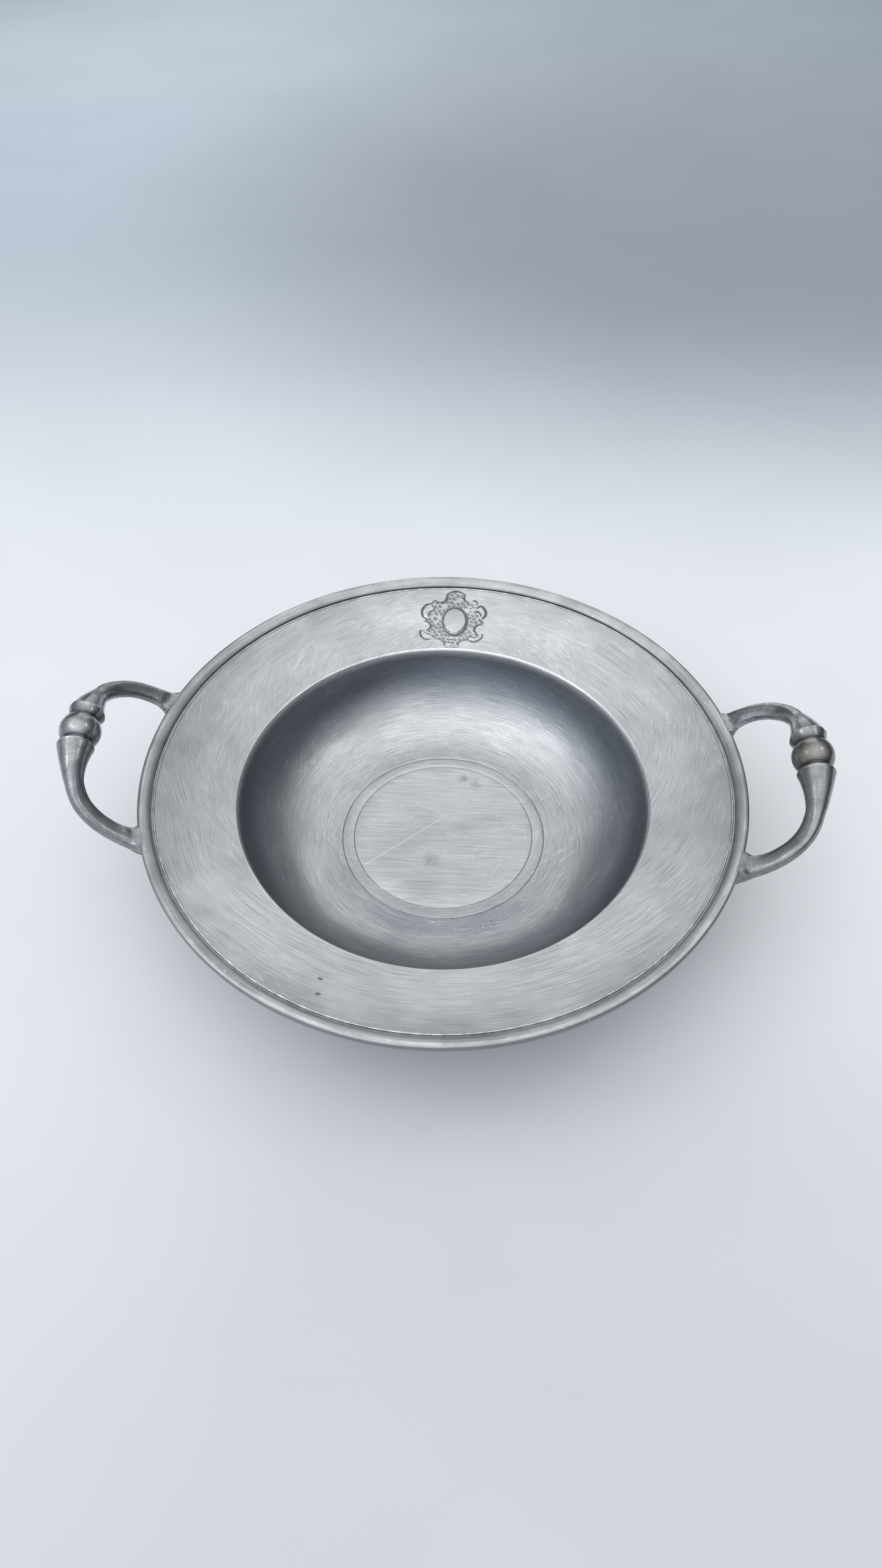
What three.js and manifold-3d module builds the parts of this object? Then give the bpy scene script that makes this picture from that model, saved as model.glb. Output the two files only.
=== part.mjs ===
// A wide-brimmed pewter bowl on a low foot ring, with a moulding soldered round its rim
// and a cast loop handle soldered to each side. Millimetres, +Z up. The origin is on the
// resting plane under the bowl's centre, the handles lie along X, and the ornament on the
// brim is at +Y.
import * as THREE from 'three';
import { mergeVertices } from 'three/addons/utils/BufferGeometryUtils.js';
import Module from 'manifold-3d';

const wasm = await Module();
wasm.setup();

// Bowl
const rimRadius = 150; // outer edge of the rim moulding
const wellRadius = 104.2; // edge between the brim and the well
const wellDepth = 37.8; // from that edge down to the flat bottom
const wellWallAngle = 76; // steepness of the well's wall at its edge, in degrees
const brimRise = 13.1; // from the well's edge to the bead
const brimHollow = 0.7; // how far the brim sags below a straight cone
const wall = 2.4;
const scribedInsets = [1.9, 8.1]; // turned lines, from the edge of the flat bottom inward
const scribedWidth = 0.8;
const scribedDepth = 0.4;

// Bead on the brim and the moulding outside it
const mouldingWidth = 6.3;
const mouldingHeight = 4.2; // its outer side
const mouldingTaper = 0.4; // how far the side leans in at its foot
const bandDrop = 2.5; // the moulding's top falls by this toward the bowl
const bandCrown = 1.2; // 1 would be a straight slope
const beadWidth = 1.5;
const beadHeight = 0.75;
const flangeThickness = 1.6; // the brim's edge under the moulding
const flangeLap = 2.9; // width of that edge
const edgeStep = 3.5; // from the moulding's outer edge down to the brim

// Foot
const footHeight = 4.2;
const footInset = 2.6; // from the edge of the flat bottom to the foot's outside
const footWidth = 4.4;
const footTaper = 0.7; // each side draws in by this toward the resting face

// Oval boss of the ornament pressed into the brim
const bossWidth = 14;
const bossLength = 16.5;
const bossHeight = 0.7;

// Handles, measured in the plane of the loop, which tilts up from the rim. Both come from
// one mould, so the ball is off the middle the same way on each, and they were soldered
// on at slightly different twists.
const handleTilt = 38.7; // degrees
const handleAzimuth = 2.1; // degrees toward -Y from the X axis
const rightTwist = 3.7; // degrees, far root up and near root down
const leftTwist = 0.8;
const loopHalfSpread = 45.5; // half the distance between the two roots
const loopReach = 41.8; // from the line between the roots out to the ball
const loopInset = 0.7; // that line lies this far inside the rim's edge
const loopExponent = 2.7; // 2 would be an ellipse, larger is squarer
const ballShift = 1.8; // the ball's distance from the loop's middle
const ballRadius = 10;
const collarRadius = 8.9; // the sharp lip on either side of the ball
const collarFootRadius = 7.6; // the collar's side toward the ball
const collarWidth = 5;
const neckRadius = 6.9;
const neckLength = 0.5;
const armRadius = 4.4;
const armThickness = 5.8; // where the arm is flat, near its root
const armSquareness = 3.6; // there, where 2 would be round
const flatStart = 0.4; // the arm flattens between these shares of the way to the root
const flatEnd = 0.72;
const flareLength = 6; // how quickly the arm narrows behind the collar
const rootWidth = 13;
const rootFlare = 4; // how quickly the arm widens at the rim
const rootLean = 0.8; // the wide root reaches this much further into the loop
const rootLift = 1.2; // and its top comes up by this, level with the rim
const rootThickening = 1.2;

// Joints
const jointGap = 0.3;
const solderThickness = 0.6; // between an arm's end and the rim
const filletWidth = 4; // solder in the corner between an arm and the rim, inside the loop
const filletDepth = 2.4; // and under the arm
const filletReach = 2.5; // how quickly it thins out along the arm
const seamWidth = 1.5; // solder in the corners under the rim and round the foot
const seamDepth = 1.2;

const segments = 72;
const armSides = 16;

// Heights that follow from the sizes above
const bottomZ = footHeight;
const floorZ = bottomZ + wall;
const wellEdgeZ = floorZ + wellDepth;
const brimEdgeZ = wellEdgeZ + brimRise;
const rimZ = brimEdgeZ + edgeStep;
const mouldingZ = rimZ - mouldingHeight;

// Radii that follow from them
const mouldingInner = rimRadius - mouldingWidth;
const beadOuter = mouldingInner - jointGap;
const beadInner = beadOuter - beadWidth;
const flangeRadius = mouldingInner + flangeLap;

const degrees = (angle) => THREE.MathUtils.degToRad(angle);
const point = (r, z) => new THREE.Vector2(r, z);

// The well's wall is an arc that leaves the flat bottom smoothly.
const wallAngle = degrees(wellWallAngle);
const wallArc = wellDepth / (1 - Math.cos(wallAngle));
const flatRadius = wellRadius - wallArc * Math.sin(wallAngle);
const footRadius = flatRadius - footInset;

const pewter = (color, roughness) => new THREE.MeshStandardMaterial({ color, roughness, metalness: 1 });
const bowlPewter = pewter(0xa9adb2, 0.38);
const mouldingPewter = pewter(0x9a9b98, 0.34);
const handlePewter = pewter(0x7f8184, 0.32);
const solderPewter = pewter(0x8d8c88, 0.5);

// Turns an outline of radii and heights, listed anticlockwise, about the Z axis.
function turned(outline) {
  return new THREE.LatheGeometry(outline, segments).rotateX(Math.PI / 2);
}

function ring(outline) {
  return turned([...outline, outline[0]]);
}

function toSolid(geometry) {
  const bare = geometry.clone();
  bare.deleteAttribute('normal');
  bare.deleteAttribute('uv');
  const merged = mergeVertices(bare, 1e-4);
  const index = merged.index.array;
  const triVerts = [];
  for (let i = 0; i < index.length; i += 3) {
    const [a, b, c] = index.slice(i, i + 3);
    if (a !== b && b !== c && c !== a) triVerts.push(a, b, c);
  }
  return new wasm.Manifold(new wasm.Mesh({
    numProp: 3,
    vertProperties: new Float32Array(merged.attributes.position.array),
    triVerts: new Uint32Array(triVerts),
  }));
}

function toGeometry(solid) {
  const { vertProperties, triVerts } = solid.getMesh();
  const geometry = new THREE.BufferGeometry();
  geometry.setAttribute('position', new THREE.BufferAttribute(vertProperties, 3));
  geometry.setIndex(new THREE.BufferAttribute(triVerts, 1));
  geometry.computeVertexNormals();
  return geometry;
}

// Bowl

function brimZ(r) {
  const u = (r - wellRadius) / (beadInner - wellRadius);
  return wellEdgeZ + brimRise * u - 4 * brimHollow * u * (1 - u);
}

function wallPoints(radius, steps) {
  const points = [];
  for (let i = 0; i <= steps; i += 1) {
    const angle = (wallAngle * i) / steps;
    points.push(point(flatRadius + radius * Math.sin(angle), floorZ + wallArc - radius * Math.cos(angle)));
  }
  return points;
}

function brimPoints(first, last, steps, drop) {
  const points = [];
  for (let i = 0; i <= steps; i += 1) {
    const r = THREE.MathUtils.lerp(first, last, i / steps);
    points.push(point(r, brimZ(r) - drop));
  }
  return points;
}

function beadPoints() {
  return [35, 90, 145].map((angle) => {
    const across = (1 + Math.cos(degrees(angle))) / 2;
    return point(beadInner + beadWidth * across, brimEdgeZ + beadHeight * Math.sin(degrees(angle)));
  });
}

function scribedLine(inset) {
  const radius = flatRadius - inset;
  return [
    point(radius + scribedWidth / 2, floorZ),
    point(radius, floorZ - scribedDepth),
    point(radius - scribedWidth / 2, floorZ),
  ];
}

function bowlOutline() {
  const slope = brimRise / (beadInner - wellRadius);
  const drop = wall * Math.hypot(1, slope);
  const outerArc = wallArc + wall;
  const underBrim = flatRadius + outerArc * Math.sin(wallAngle) + wall;
  return [
    point(0, bottomZ),
    ...wallPoints(outerArc, 8),
    ...brimPoints(underBrim, beadInner, 3, drop),
    point(flangeRadius, brimEdgeZ - flangeThickness),
    point(flangeRadius, brimEdgeZ),
    point(beadOuter, brimEdgeZ),
    ...beadPoints(),
    ...brimPoints(beadInner, wellRadius, 5, 0),
    ...wallPoints(wallArc, 9).reverse().slice(1),
    ...scribedInsets.flatMap(scribedLine),
    point(0, floorZ),
  ];
}

// The boss is drawn flat, x along the brim and y outward from its own centre, and is then
// wrapped round the brim. Its height is measured from the brim's surface.
function ornamentBoss() {
  const centreRadius = (wellRadius + beadInner) / 2;
  const sunk = wall / 2;
  const outline = new THREE.Shape().absellipse(0, 0, bossWidth / 2, bossLength / 2, 0, 2 * Math.PI);
  const shoulder = bossWidth / 7;
  const bevel = { bevelThickness: bossHeight, bevelSize: shoulder, bevelOffset: -shoulder, bevelSegments: 2 };
  const boss = new THREE.ExtrudeGeometry(outline, { depth: sunk, curveSegments: 12, ...bevel });
  const position = boss.attributes.position;
  for (let i = 0; i < position.count; i += 1) {
    const azimuth = Math.PI / 2 - position.getX(i) / centreRadius;
    const r = centreRadius + position.getY(i);
    const z = brimZ(r) + position.getZ(i) - sunk;
    position.setXYZ(i, r * Math.cos(azimuth), r * Math.sin(azimuth), z);
  }
  return boss;
}

function bowlBody() {
  return toGeometry(toSolid(turned(bowlOutline())).add(toSolid(ornamentBoss())));
}

// Rim moulding and foot

function mouldingOutline() {
  const underside = brimEdgeZ + jointGap;
  const inside = flangeRadius + jointGap;
  const steps = 5;
  const top = [];
  for (let i = 0; i <= steps; i += 1) {
    const inward = i / steps;
    top.push(point(rimRadius - inward * mouldingWidth, rimZ - bandDrop * inward ** bandCrown));
  }
  return [
    point(inside, mouldingZ),
    point(rimRadius - mouldingTaper, mouldingZ),
    ...top,
    point(mouldingInner, underside),
    point(inside, underside),
  ];
}

// A seam's section, with its square corner up and toward the bowl's axis.
function seamOutline(inside, top) {
  return [point(inside, top - seamDepth), point(inside + seamWidth, top), point(inside, top)];
}

function footOutline() {
  const top = footHeight - jointGap;
  return [
    point(footRadius - footWidth + footTaper, 0),
    point(footRadius - footTaper, 0),
    point(footRadius, top),
    point(footRadius - footWidth, top),
  ];
}

// Handles. A handle is built with the bowl's axis on Z and its ball toward +X. The loop is
// a superellipse in a plane that tilts up from the rim, with straight ends that run on
// into the rim, where the rim's own cylinder trims them.

class Loop extends THREE.Curve {
  getPoint(t, target = new THREE.Vector3()) {
    const angle = (t - 0.5) * Math.PI;
    const power = 2 / loopExponent;
    const x = loopReach * Math.max(Math.cos(angle), 0) ** power;
    const y = loopHalfSpread * Math.sign(angle) * Math.abs(Math.sin(angle)) ** power;
    return target.set(x, y, 0);
  }
}

const loop = new Loop();
loop.arcLengthDivisions = 4000;
const halfLoop = loop.getLength() / 2;

// Point and direction at a distance along the loop from its middle.
function alongLoop(distance) {
  const past = Math.max(Math.abs(distance) - halfLoop, 0);
  const u = THREE.MathUtils.clamp(0.5 + distance / halfLoop / 2, 0, 1);
  const tangent = past > 0 ? new THREE.Vector3(-Math.sign(distance), 0, 0) : loop.getTangentAt(u);
  return { centre: loop.getPointAt(u).addScaledVector(tangent, past * Math.sign(distance)), tangent };
}

// Distances from the ball's centre where the collar starts and where its lip is.
const ballEnd = Math.sqrt(ballRadius ** 2 - neckRadius ** 2);
const collarStart = ballEnd + neckLength;
const lip = collarStart + collarWidth;

function flaredRadius(distance) {
  return armRadius + (collarRadius - armRadius) * Math.exp(-(distance - lip) / flareLength);
}

// Sections from the ball's middle to a root: [distance, radius].
function armStations() {
  const stations = [];
  const ballSteps = 4;
  for (let i = 0; i <= ballSteps; i += 1) {
    const angle = (Math.asin(ballEnd / ballRadius) * i) / ballSteps;
    stations.push([ballRadius * Math.sin(angle), ballRadius * Math.cos(angle)]);
  }
  for (const share of [0, 0.5, 1]) {
    const swelling = Math.sin((share * Math.PI) / 2);
    const radius = THREE.MathUtils.lerp(collarFootRadius, collarRadius, swelling);
    stations.push([collarStart + share * collarWidth, radius]);
  }
  const flareEnd = halfLoop - 2.25 * rootFlare;
  for (let step = 1.5, distance = lip + step; distance < flareEnd; distance += step) {
    stations.push([distance, flaredRadius(distance)]);
    step = Math.min(step * 1.35, 5.5);
  }
  for (const share of [1.75, 1.1, 0.6, 0.2, -0.25]) {
    stations.push([halfLoop - share * rootFlare, armRadius]);
  }
  stations.push([halfLoop + 2 * rootWidth, armRadius]);
  return stations;
}

// The arm's section is round from the collar to the bend. Near the root it is flat and
// squarer, its top comes up level with the rim, and it widens, mostly into the loop.
function armSection(distance, radius) {
  const flat = THREE.MathUtils.smoothstep(distance, flatStart * halfLoop, flatEnd * halfLoop);
  const rootward = Math.exp(-fromRoot(distance) / rootFlare);
  return {
    halfWidth: radius + (rootWidth / 2 - armRadius) * rootward,
    halfThickness: THREE.MathUtils.lerp(radius, armThickness / 2, flat) + (rootThickening / 2) * rootward,
    lean: rootLean * rootward,
    lift: rootLift * rootward - (armThickness / 2) * flat,
    exponent: THREE.MathUtils.lerp(2, armSquareness, flat),
  };
}

function fromRoot(distance) {
  return Math.max(halfLoop - distance, 0);
}

// What is added to the section: a clearance all round, or the solder's fillet, which
// leaves the arm's top and its outer side bare.
function clearanceSection() {
  return { width: jointGap, thickness: jointGap, lean: 0, lift: 0 };
}

function filletSection(distance) {
  const thinning = Math.exp(-fromRoot(distance) / filletReach);
  const width = (filletWidth / 2) * thinning;
  const thickness = (filletDepth / 2) * thinning;
  return { width, thickness, lean: width, lift: -thickness };
}

function sectionRing(distance, radius, added) {
  const fromMiddle = distance + ballShift * Math.max(1 - Math.abs(distance) / halfLoop, 0);
  const { centre, tangent } = alongLoop(fromMiddle);
  const { halfWidth, halfThickness, lean, lift, exponent } = armSection(Math.abs(distance), radius);
  const inward = new THREE.Vector3(-tangent.y, tangent.x, 0);
  const rounded = (value) => Math.sign(value) * Math.abs(value) ** (2 / exponent);
  const points = [];
  for (let i = 0; i < armSides; i += 1) {
    const angle = (2 * Math.PI * (i + 0.5)) / armSides;
    const across = lean + added.lean + (halfWidth + added.width) * rounded(Math.cos(angle));
    const p = centre.clone().addScaledVector(inward, across);
    p.z += lift + added.lift + (halfThickness + added.thickness) * rounded(Math.sin(angle));
    points.push(p);
  }
  return points;
}

// Joins rings of equal count into one closed body.
function loft(rings) {
  const count = rings[0].length;
  const vertices = rings.flat().flatMap((p) => p.toArray());
  const index = [];
  for (let r = 0; r < rings.length - 1; r += 1) {
    for (let i = 0; i < count; i += 1) {
      const j = (i + 1) % count;
      const [a, b, c, d] = [r * count + i, r * count + j, (r + 1) * count + j, (r + 1) * count + i];
      index.push(a, b, c, a, c, d);
    }
  }
  const last = (rings.length - 1) * count;
  for (let i = 1; i < count - 1; i += 1) {
    index.push(0, i + 1, i);
    index.push(last, last + i, last + i + 1);
  }
  const geometry = new THREE.BufferGeometry();
  geometry.setAttribute('position', new THREE.Float32BufferAttribute(vertices, 3));
  geometry.setIndex(index);
  return geometry;
}

function nothingAdded() {
  return { width: 0, thickness: 0, lean: 0, lift: 0 };
}

function untrimmedHandle(twist, added = nothingAdded) {
  const half = armStations();
  const stations = [...half.slice(1).reverse().map(([s, r]) => [-s, r]), ...half];
  const flat = loft(stations.map(([s, r]) => sectionRing(s, r, added(Math.abs(s)))));
  const rootLine = Math.sqrt(rimRadius ** 2 - loopHalfSpread ** 2) - loopInset;
  flat.rotateX(degrees(twist)).rotateY(-degrees(handleTilt));
  return toSolid(flat.translate(rootLine, 0, rimZ - bandDrop));
}

// A tall cylinder about the bowl's axis.
function core(radius) {
  const above = rimZ + loopReach;
  const below = rimZ - loopReach;
  return toSolid(turned([point(0, below), point(radius, below), point(radius, above), point(0, above)]));
}

const solderInner = rimRadius + jointGap;
const solderOuter = solderInner + solderThickness;
const armEnd = solderOuter + jointGap;

function handle(twist) {
  return toGeometry(untrimmedHandle(twist).subtract(core(armEnd)));
}

// The solder at one root fills the space between the arm's end and the rim, and makes a
// fillet in the corner round the arm.
function solderJoint(twist, side) {
  const solder = untrimmedHandle(twist, filletSection).subtract(core(solderInner));
  const armSpace = untrimmedHandle(twist, clearanceSection).subtract(core(solderOuter));
  const reach = 2 * rimRadius;
  const half = new THREE.BoxGeometry(reach, reach, reach).translate(rimRadius, (side * reach) / 2, rimZ);
  return toGeometry(solder.subtract(armSpace).intersect(toSolid(half)));
}

const model = new THREE.Group();

function add(name, geometry, material) {
  const mesh = new THREE.Mesh(geometry, material);
  mesh.name = name;
  model.add(mesh);
  return mesh;
}

add('bowl_body', bowlBody(), bowlPewter);
add('rim_moulding', ring(mouldingOutline()), mouldingPewter);
add('rim_solder_seam', ring(seamOutline(flangeRadius + jointGap, mouldingZ - jointGap)), solderPewter);
add('foot_ring', ring(footOutline()), bowlPewter);
add('foot_solder_seam', ring(seamOutline(footRadius + jointGap, footHeight - jointGap)), solderPewter);

const handles = [
  { side: 'right', azimuth: -handleAzimuth, twist: rightTwist, far: 1 },
  { side: 'left', azimuth: 180 + handleAzimuth, twist: -leftTwist, far: -1 },
];
for (const { side, azimuth, twist, far } of handles) {
  const pieces = [
    add(`handle_${side}`, handle(twist), handlePewter),
    add(`solder_${side}_far`, solderJoint(twist, far), solderPewter),
    add(`solder_${side}_near`, solderJoint(twist, -far), solderPewter),
  ];
  for (const piece of pieces) piece.rotation.z = degrees(azimuth);
}

export default model;
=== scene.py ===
"""A two-handled pewter bowl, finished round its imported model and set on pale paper.

The bowl, its rim moulding, its foot, the cast handles and the solder that joins them are
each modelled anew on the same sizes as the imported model, with the turned lines, the
chased cartouche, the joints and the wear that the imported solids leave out.
"""

from __future__ import annotations

import logging
import math
from dataclasses import dataclass, field, replace
from enum import Enum
from functools import reduce
from typing import Sequence

import bmesh
import bpy
import numpy as np
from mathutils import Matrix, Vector

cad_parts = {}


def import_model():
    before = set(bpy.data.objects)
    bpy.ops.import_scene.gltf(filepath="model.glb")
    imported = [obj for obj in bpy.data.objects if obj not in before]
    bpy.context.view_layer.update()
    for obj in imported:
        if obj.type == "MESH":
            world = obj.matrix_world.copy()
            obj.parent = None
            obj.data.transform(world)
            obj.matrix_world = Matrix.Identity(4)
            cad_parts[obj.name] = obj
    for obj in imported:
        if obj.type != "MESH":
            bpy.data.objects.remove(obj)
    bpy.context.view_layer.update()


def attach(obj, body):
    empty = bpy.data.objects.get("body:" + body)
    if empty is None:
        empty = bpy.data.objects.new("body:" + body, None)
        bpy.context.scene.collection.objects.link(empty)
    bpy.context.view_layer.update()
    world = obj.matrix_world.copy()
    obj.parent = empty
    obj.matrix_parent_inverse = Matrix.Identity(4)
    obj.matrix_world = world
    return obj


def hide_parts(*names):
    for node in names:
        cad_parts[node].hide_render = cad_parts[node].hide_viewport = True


log = logging.getLogger("bowl")

MM = 0.001
TOUCHING = 0.002  # millimetres, vertices closer than this become one
Point = tuple[float, float]
Triple = tuple[float, float, float]
Colour = tuple[float, float, float, float]
Socket = bpy.types.NodeSocket
# What the word after a node's kind sets, where that isn't its operation
MAIN_SETTINGS = {"MapRange": "interpolation_type", "Mix": "data_type", "Attribute": "attribute_name"}


class Side(Enum):
    """The two handles, seen from the near side of the bowl."""

    LEFT = "left"
    RIGHT = "right"


class End(Enum):
    """The two roots of a handle."""

    FAR = "far"
    NEAR = "near"


# Working in Blender


def deselect_all() -> None:
    """Leaves edit mode and selects nothing."""
    if bpy.context.object is not None and bpy.context.object.mode != "OBJECT":
        bpy.ops.object.mode_set(mode="OBJECT")
    bpy.ops.object.select_all(action="DESELECT")


def take_up(piece: bpy.types.Object) -> None:
    """Makes one piece the only selected and active object.

    Args:
        piece: The object to work on.
    """
    deselect_all()
    piece.select_set(True)
    bpy.context.view_layer.objects.active = piece


def open_up(piece: bpy.types.Object) -> None:
    """Takes a piece into edit mode with all of it selected."""
    take_up(piece)
    bpy.ops.object.mode_set(mode="EDIT")
    bpy.ops.mesh.select_all(action="SELECT")


def smooth_shading(piece: bpy.types.Object, crease: float) -> None:
    """Shades a piece smooth, but for edges sharper than an angle.

    Args:
        piece: The object to shade.
        crease: The angle in degrees from which an edge stays sharp.
    """
    take_up(piece)
    bpy.ops.object.shade_smooth_by_angle(angle=math.radians(crease))
    deselect_all()


def face_outwards(piece: bpy.types.Object) -> None:
    """Merges doubled vertices and turns every face out.

    Args:
        piece: The mesh object.
    """
    open_up(piece)
    bpy.ops.mesh.remove_doubles(threshold=TOUCHING * MM)
    bpy.ops.mesh.normals_make_consistent(inside=False)
    deselect_all()


def read_vertices(piece: bpy.types.Object) -> np.ndarray:
    """Returns a piece's vertices in millimetres, one row each."""
    flat = np.empty(len(piece.data.vertices) * 3)
    piece.data.vertices.foreach_get("co", flat)
    return flat.reshape(-1, 3) / MM


def write_vertices(piece: bpy.types.Object, vertices: np.ndarray) -> None:
    """Moves a piece's vertices to new places, given in millimetres."""
    piece.data.vertices.foreach_set("co", (vertices * MM).ravel())
    piece.data.update()


def mark(piece: bpy.types.Object, name: str, values: np.ndarray) -> None:
    """Stores one number for each vertex, for a finish to read.

    Args:
        piece: The mesh object.
        name: The attribute's name.
        values: One value per vertex, 0 to 1.
    """
    attribute = piece.data.attributes.new(name, "FLOAT", "POINT")
    attribute.data.foreach_set("value", np.clip(values, 0, 1).astype(np.float32))


def start_outline(name: str, first: Point) -> bpy.types.Object:
    """Starts a piece as a single vertex in the XZ plane, in edit mode.

    Args:
        name: The piece's name.
        first: Radius and height of the vertex in millimetres.

    Returns:
        The new object.
    """
    deselect_all()
    bpy.ops.mesh.primitive_plane_add(size=MM, location=(0, 0, 0))
    piece = bpy.context.object
    piece.name = name
    piece.data.name = name
    bpy.ops.object.mode_set(mode="EDIT")
    bpy.ops.mesh.select_mode(type="VERT")
    bpy.ops.mesh.select_all(action="SELECT")
    bpy.ops.mesh.merge(type="CENTER")
    bpy.ops.transform.translate(value=(first[0] * MM, 0, first[1] * MM))
    return piece


def turn(name: str, outline: Sequence[Point], steps: int, closed: bool = False) -> bpy.types.Object:
    """Turns an outline about the bowl's axis, as on a lathe.

    Args:
        name: The new piece's name.
        outline: Radii and heights in millimetres.
        steps: How many steps make a full turn.
        closed: Whether the outline's last point joins its first.

    Returns:
        The turned piece.
    """
    points = list(outline) + ([outline[0]] if closed else [])
    piece = start_outline(name, points[0])
    for (r0, z0), (r1, z1) in zip(points, points[1:]):
        step = ((r1 - r0) * MM, 0, (z1 - z0) * MM)
        bpy.ops.mesh.extrude_region_move(TRANSFORM_OT_translate={"value": step})
    bpy.ops.mesh.select_all(action="SELECT")
    bpy.ops.mesh.spin(steps=steps, angle=2 * math.pi, center=(0, 0, 0), axis=(0, 0, 1))
    face_outwards(piece)
    return piece


def softened(corners: Sequence[tuple[float, ...]], steps: int = 3) -> list[Point]:
    """Rounds the corners of an outline.

    Args:
        corners: Radius, height and, for a corner that is rounded, how far from it the
            rounding starts.
        steps: How many edges make each rounding.

    Returns:
        The outline with its roundings as points.
    """
    outline: list[Point] = []
    for i, corner in enumerate(corners):
        here = np.array(corner[:2])
        if len(corner) < 3:
            outline.append((here[0], here[1]))
            continue
        before = np.array(corners[i - 1][:2]) - here
        after = np.array(corners[(i + 1) % len(corners)][:2]) - here
        start = here + before / np.linalg.norm(before) * corner[2]
        end = here + after / np.linalg.norm(after) * corner[2]
        for t in np.linspace(0, 1, steps + 1):
            p = start * (1 - t) ** 2 + here * 2 * t * (1 - t) + end * t**2
            outline.append((float(p[0]), float(p[1])))
    return outline


def ramp(values: np.ndarray, start: float, end: float) -> np.ndarray:
    """Rises in a straight line from 0 at one value to 1 at another."""
    return np.clip((values - start) / (end - start), 0, 1)


def eased(share: np.ndarray) -> np.ndarray:
    """Rounds off both ends of a rise from 0 to 1."""
    return share * share * (3 - 2 * share)


def spun(first: np.ndarray, second: np.ndarray, degrees: float) -> tuple[np.ndarray, np.ndarray]:
    """Turns two coordinates about the third axis, from the first toward the second."""
    cosine, sine = math.cos(math.radians(degrees)), math.sin(math.radians(degrees))
    return first * cosine - second * sine, first * sine + second * cosine


def ripple(places: np.ndarray, seed: int, wavelength: float) -> np.ndarray:
    """Gives a smooth, irregular value from -1 to 1 at each place.

    Args:
        places: Points in millimetres, one row each.
        seed: Which pattern to give.
        wavelength: The typical distance between bumps in millimetres.

    Returns:
        One value for each place.
    """
    random = np.random.default_rng(seed)
    waves = 7
    total = np.zeros(len(places))
    for _ in range(waves):
        direction = random.normal(size=3)
        direction /= np.linalg.norm(direction)
        length = wavelength * random.uniform(0.7, 1.6)
        phase = random.uniform(0, 2 * math.pi)
        total += np.sin(places @ direction * 2 * math.pi / length + phase)
    return total / waves * 1.6


# Finishes


def linear(code: str) -> Colour:
    """Turns an sRGB hex colour to linear light.

    Args:
        code: The colour as #RRGGBB.

    Returns:
        Linear red, green, blue and an alpha of 1.
    """
    parts = [int(code[i : i + 2], 16) / 255 for i in (1, 3, 5)]
    low = [p / 12.92 if p <= 0.04045 else ((p + 0.055) / 1.055) ** 2.4 for p in parts]
    return (low[0], low[1], low[2], 1.0)


class Sheet:
    """The node tree of one material or of the world."""

    def __init__(self, owner: bpy.types.Material | bpy.types.World) -> None:
        """Takes a new material's or world's tree and empties it."""
        owner.use_nodes = True
        self.tree = owner.node_tree
        self.tree.nodes.clear()

    def add(self, kind: str, inputs: dict | tuple = (), out: int | str = 0) -> Socket:
        """Adds a node with its settings and links.

        Args:
            kind: The node's type without the words ShaderNode, and after a space its
                operation or other main setting, where it has one.
            inputs: Values, or the sockets that feed them, in order or by name or number.
                Size stands for Scale, and is how big the pattern is in millimetres.
            out: The output to return, by name or number.

        Returns:
            The chosen output socket.
        """
        kind, _, choice = kind.partition(" ")
        node = self.tree.nodes.new("ShaderNode" + kind)
        if choice:
            setattr(node, MAIN_SETTINGS.get(kind, "operation"), choice)
        for name, value in inputs.items() if isinstance(inputs, dict) else enumerate(inputs):
            if name == "Size":
                name, value = "Scale", 1 / (np.array(value) * MM)
            if isinstance(value, Socket):
                self.tree.links.new(value, node.inputs[name])
            else:
                node.inputs[name].default_value = value
        return node.outputs[out] if len(node.outputs) else node


def joined(sheet: Sheet, how: str, *masks: Socket | float) -> Socket:
    """Joins masks one after another, by MULTIPLY or MAXIMUM."""
    return reduce(lambda one, other: sheet.add(f"Math {how}", (one, other)), masks)


def coats(sheet: Sheet, ground: Socket | Colour, *layers: tuple[Socket, str]) -> Socket:
    """Lays colours over a ground, each through its own mask.

    Args:
        sheet: The tree to add the nodes to.
        ground: The colour under them.
        *layers: The mask and the hex colour of each, from the lowest up.

    Returns:
        The mixed colour.
    """
    for mask, code in layers:
        ground = sheet.add("Mix RGBA", {0: mask, 6: ground, 7: linear(code)}, 2)
    return ground


def distance_from_axis(sheet: Sheet, place: Socket) -> tuple[Socket, Socket]:
    """Returns the place without its height, and how far it is from the bowl's axis."""
    level = sheet.add("VectorMath MULTIPLY", (place, (1, 1, 0)))
    return level, sheet.add("VectorMath LENGTH", (level,), "Value")


def radius_band(sheet: Sheet, radius: Socket, inner: float, outer: float, edge: float) -> Socket:
    """Adds nodes for a mask that is 1 between two radii.

    Args:
        sheet: The tree to add them to.
        radius: The radius in metres.
        inner: Where the band starts in millimetres.
        outer: Where it ends.
        edge: Half the width over which the mask fades at either side.

    Returns:
        The mask.
    """
    rise = sheet.add("MapRange SMOOTHSTEP", (radius, (inner - edge) * MM, (inner + edge) * MM))
    fall = sheet.add("MapRange SMOOTHSTEP", (radius, (outer - edge) * MM, (outer + edge) * MM, 1, 0))
    return joined(sheet, "MULTIPLY", rise, fall)


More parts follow.
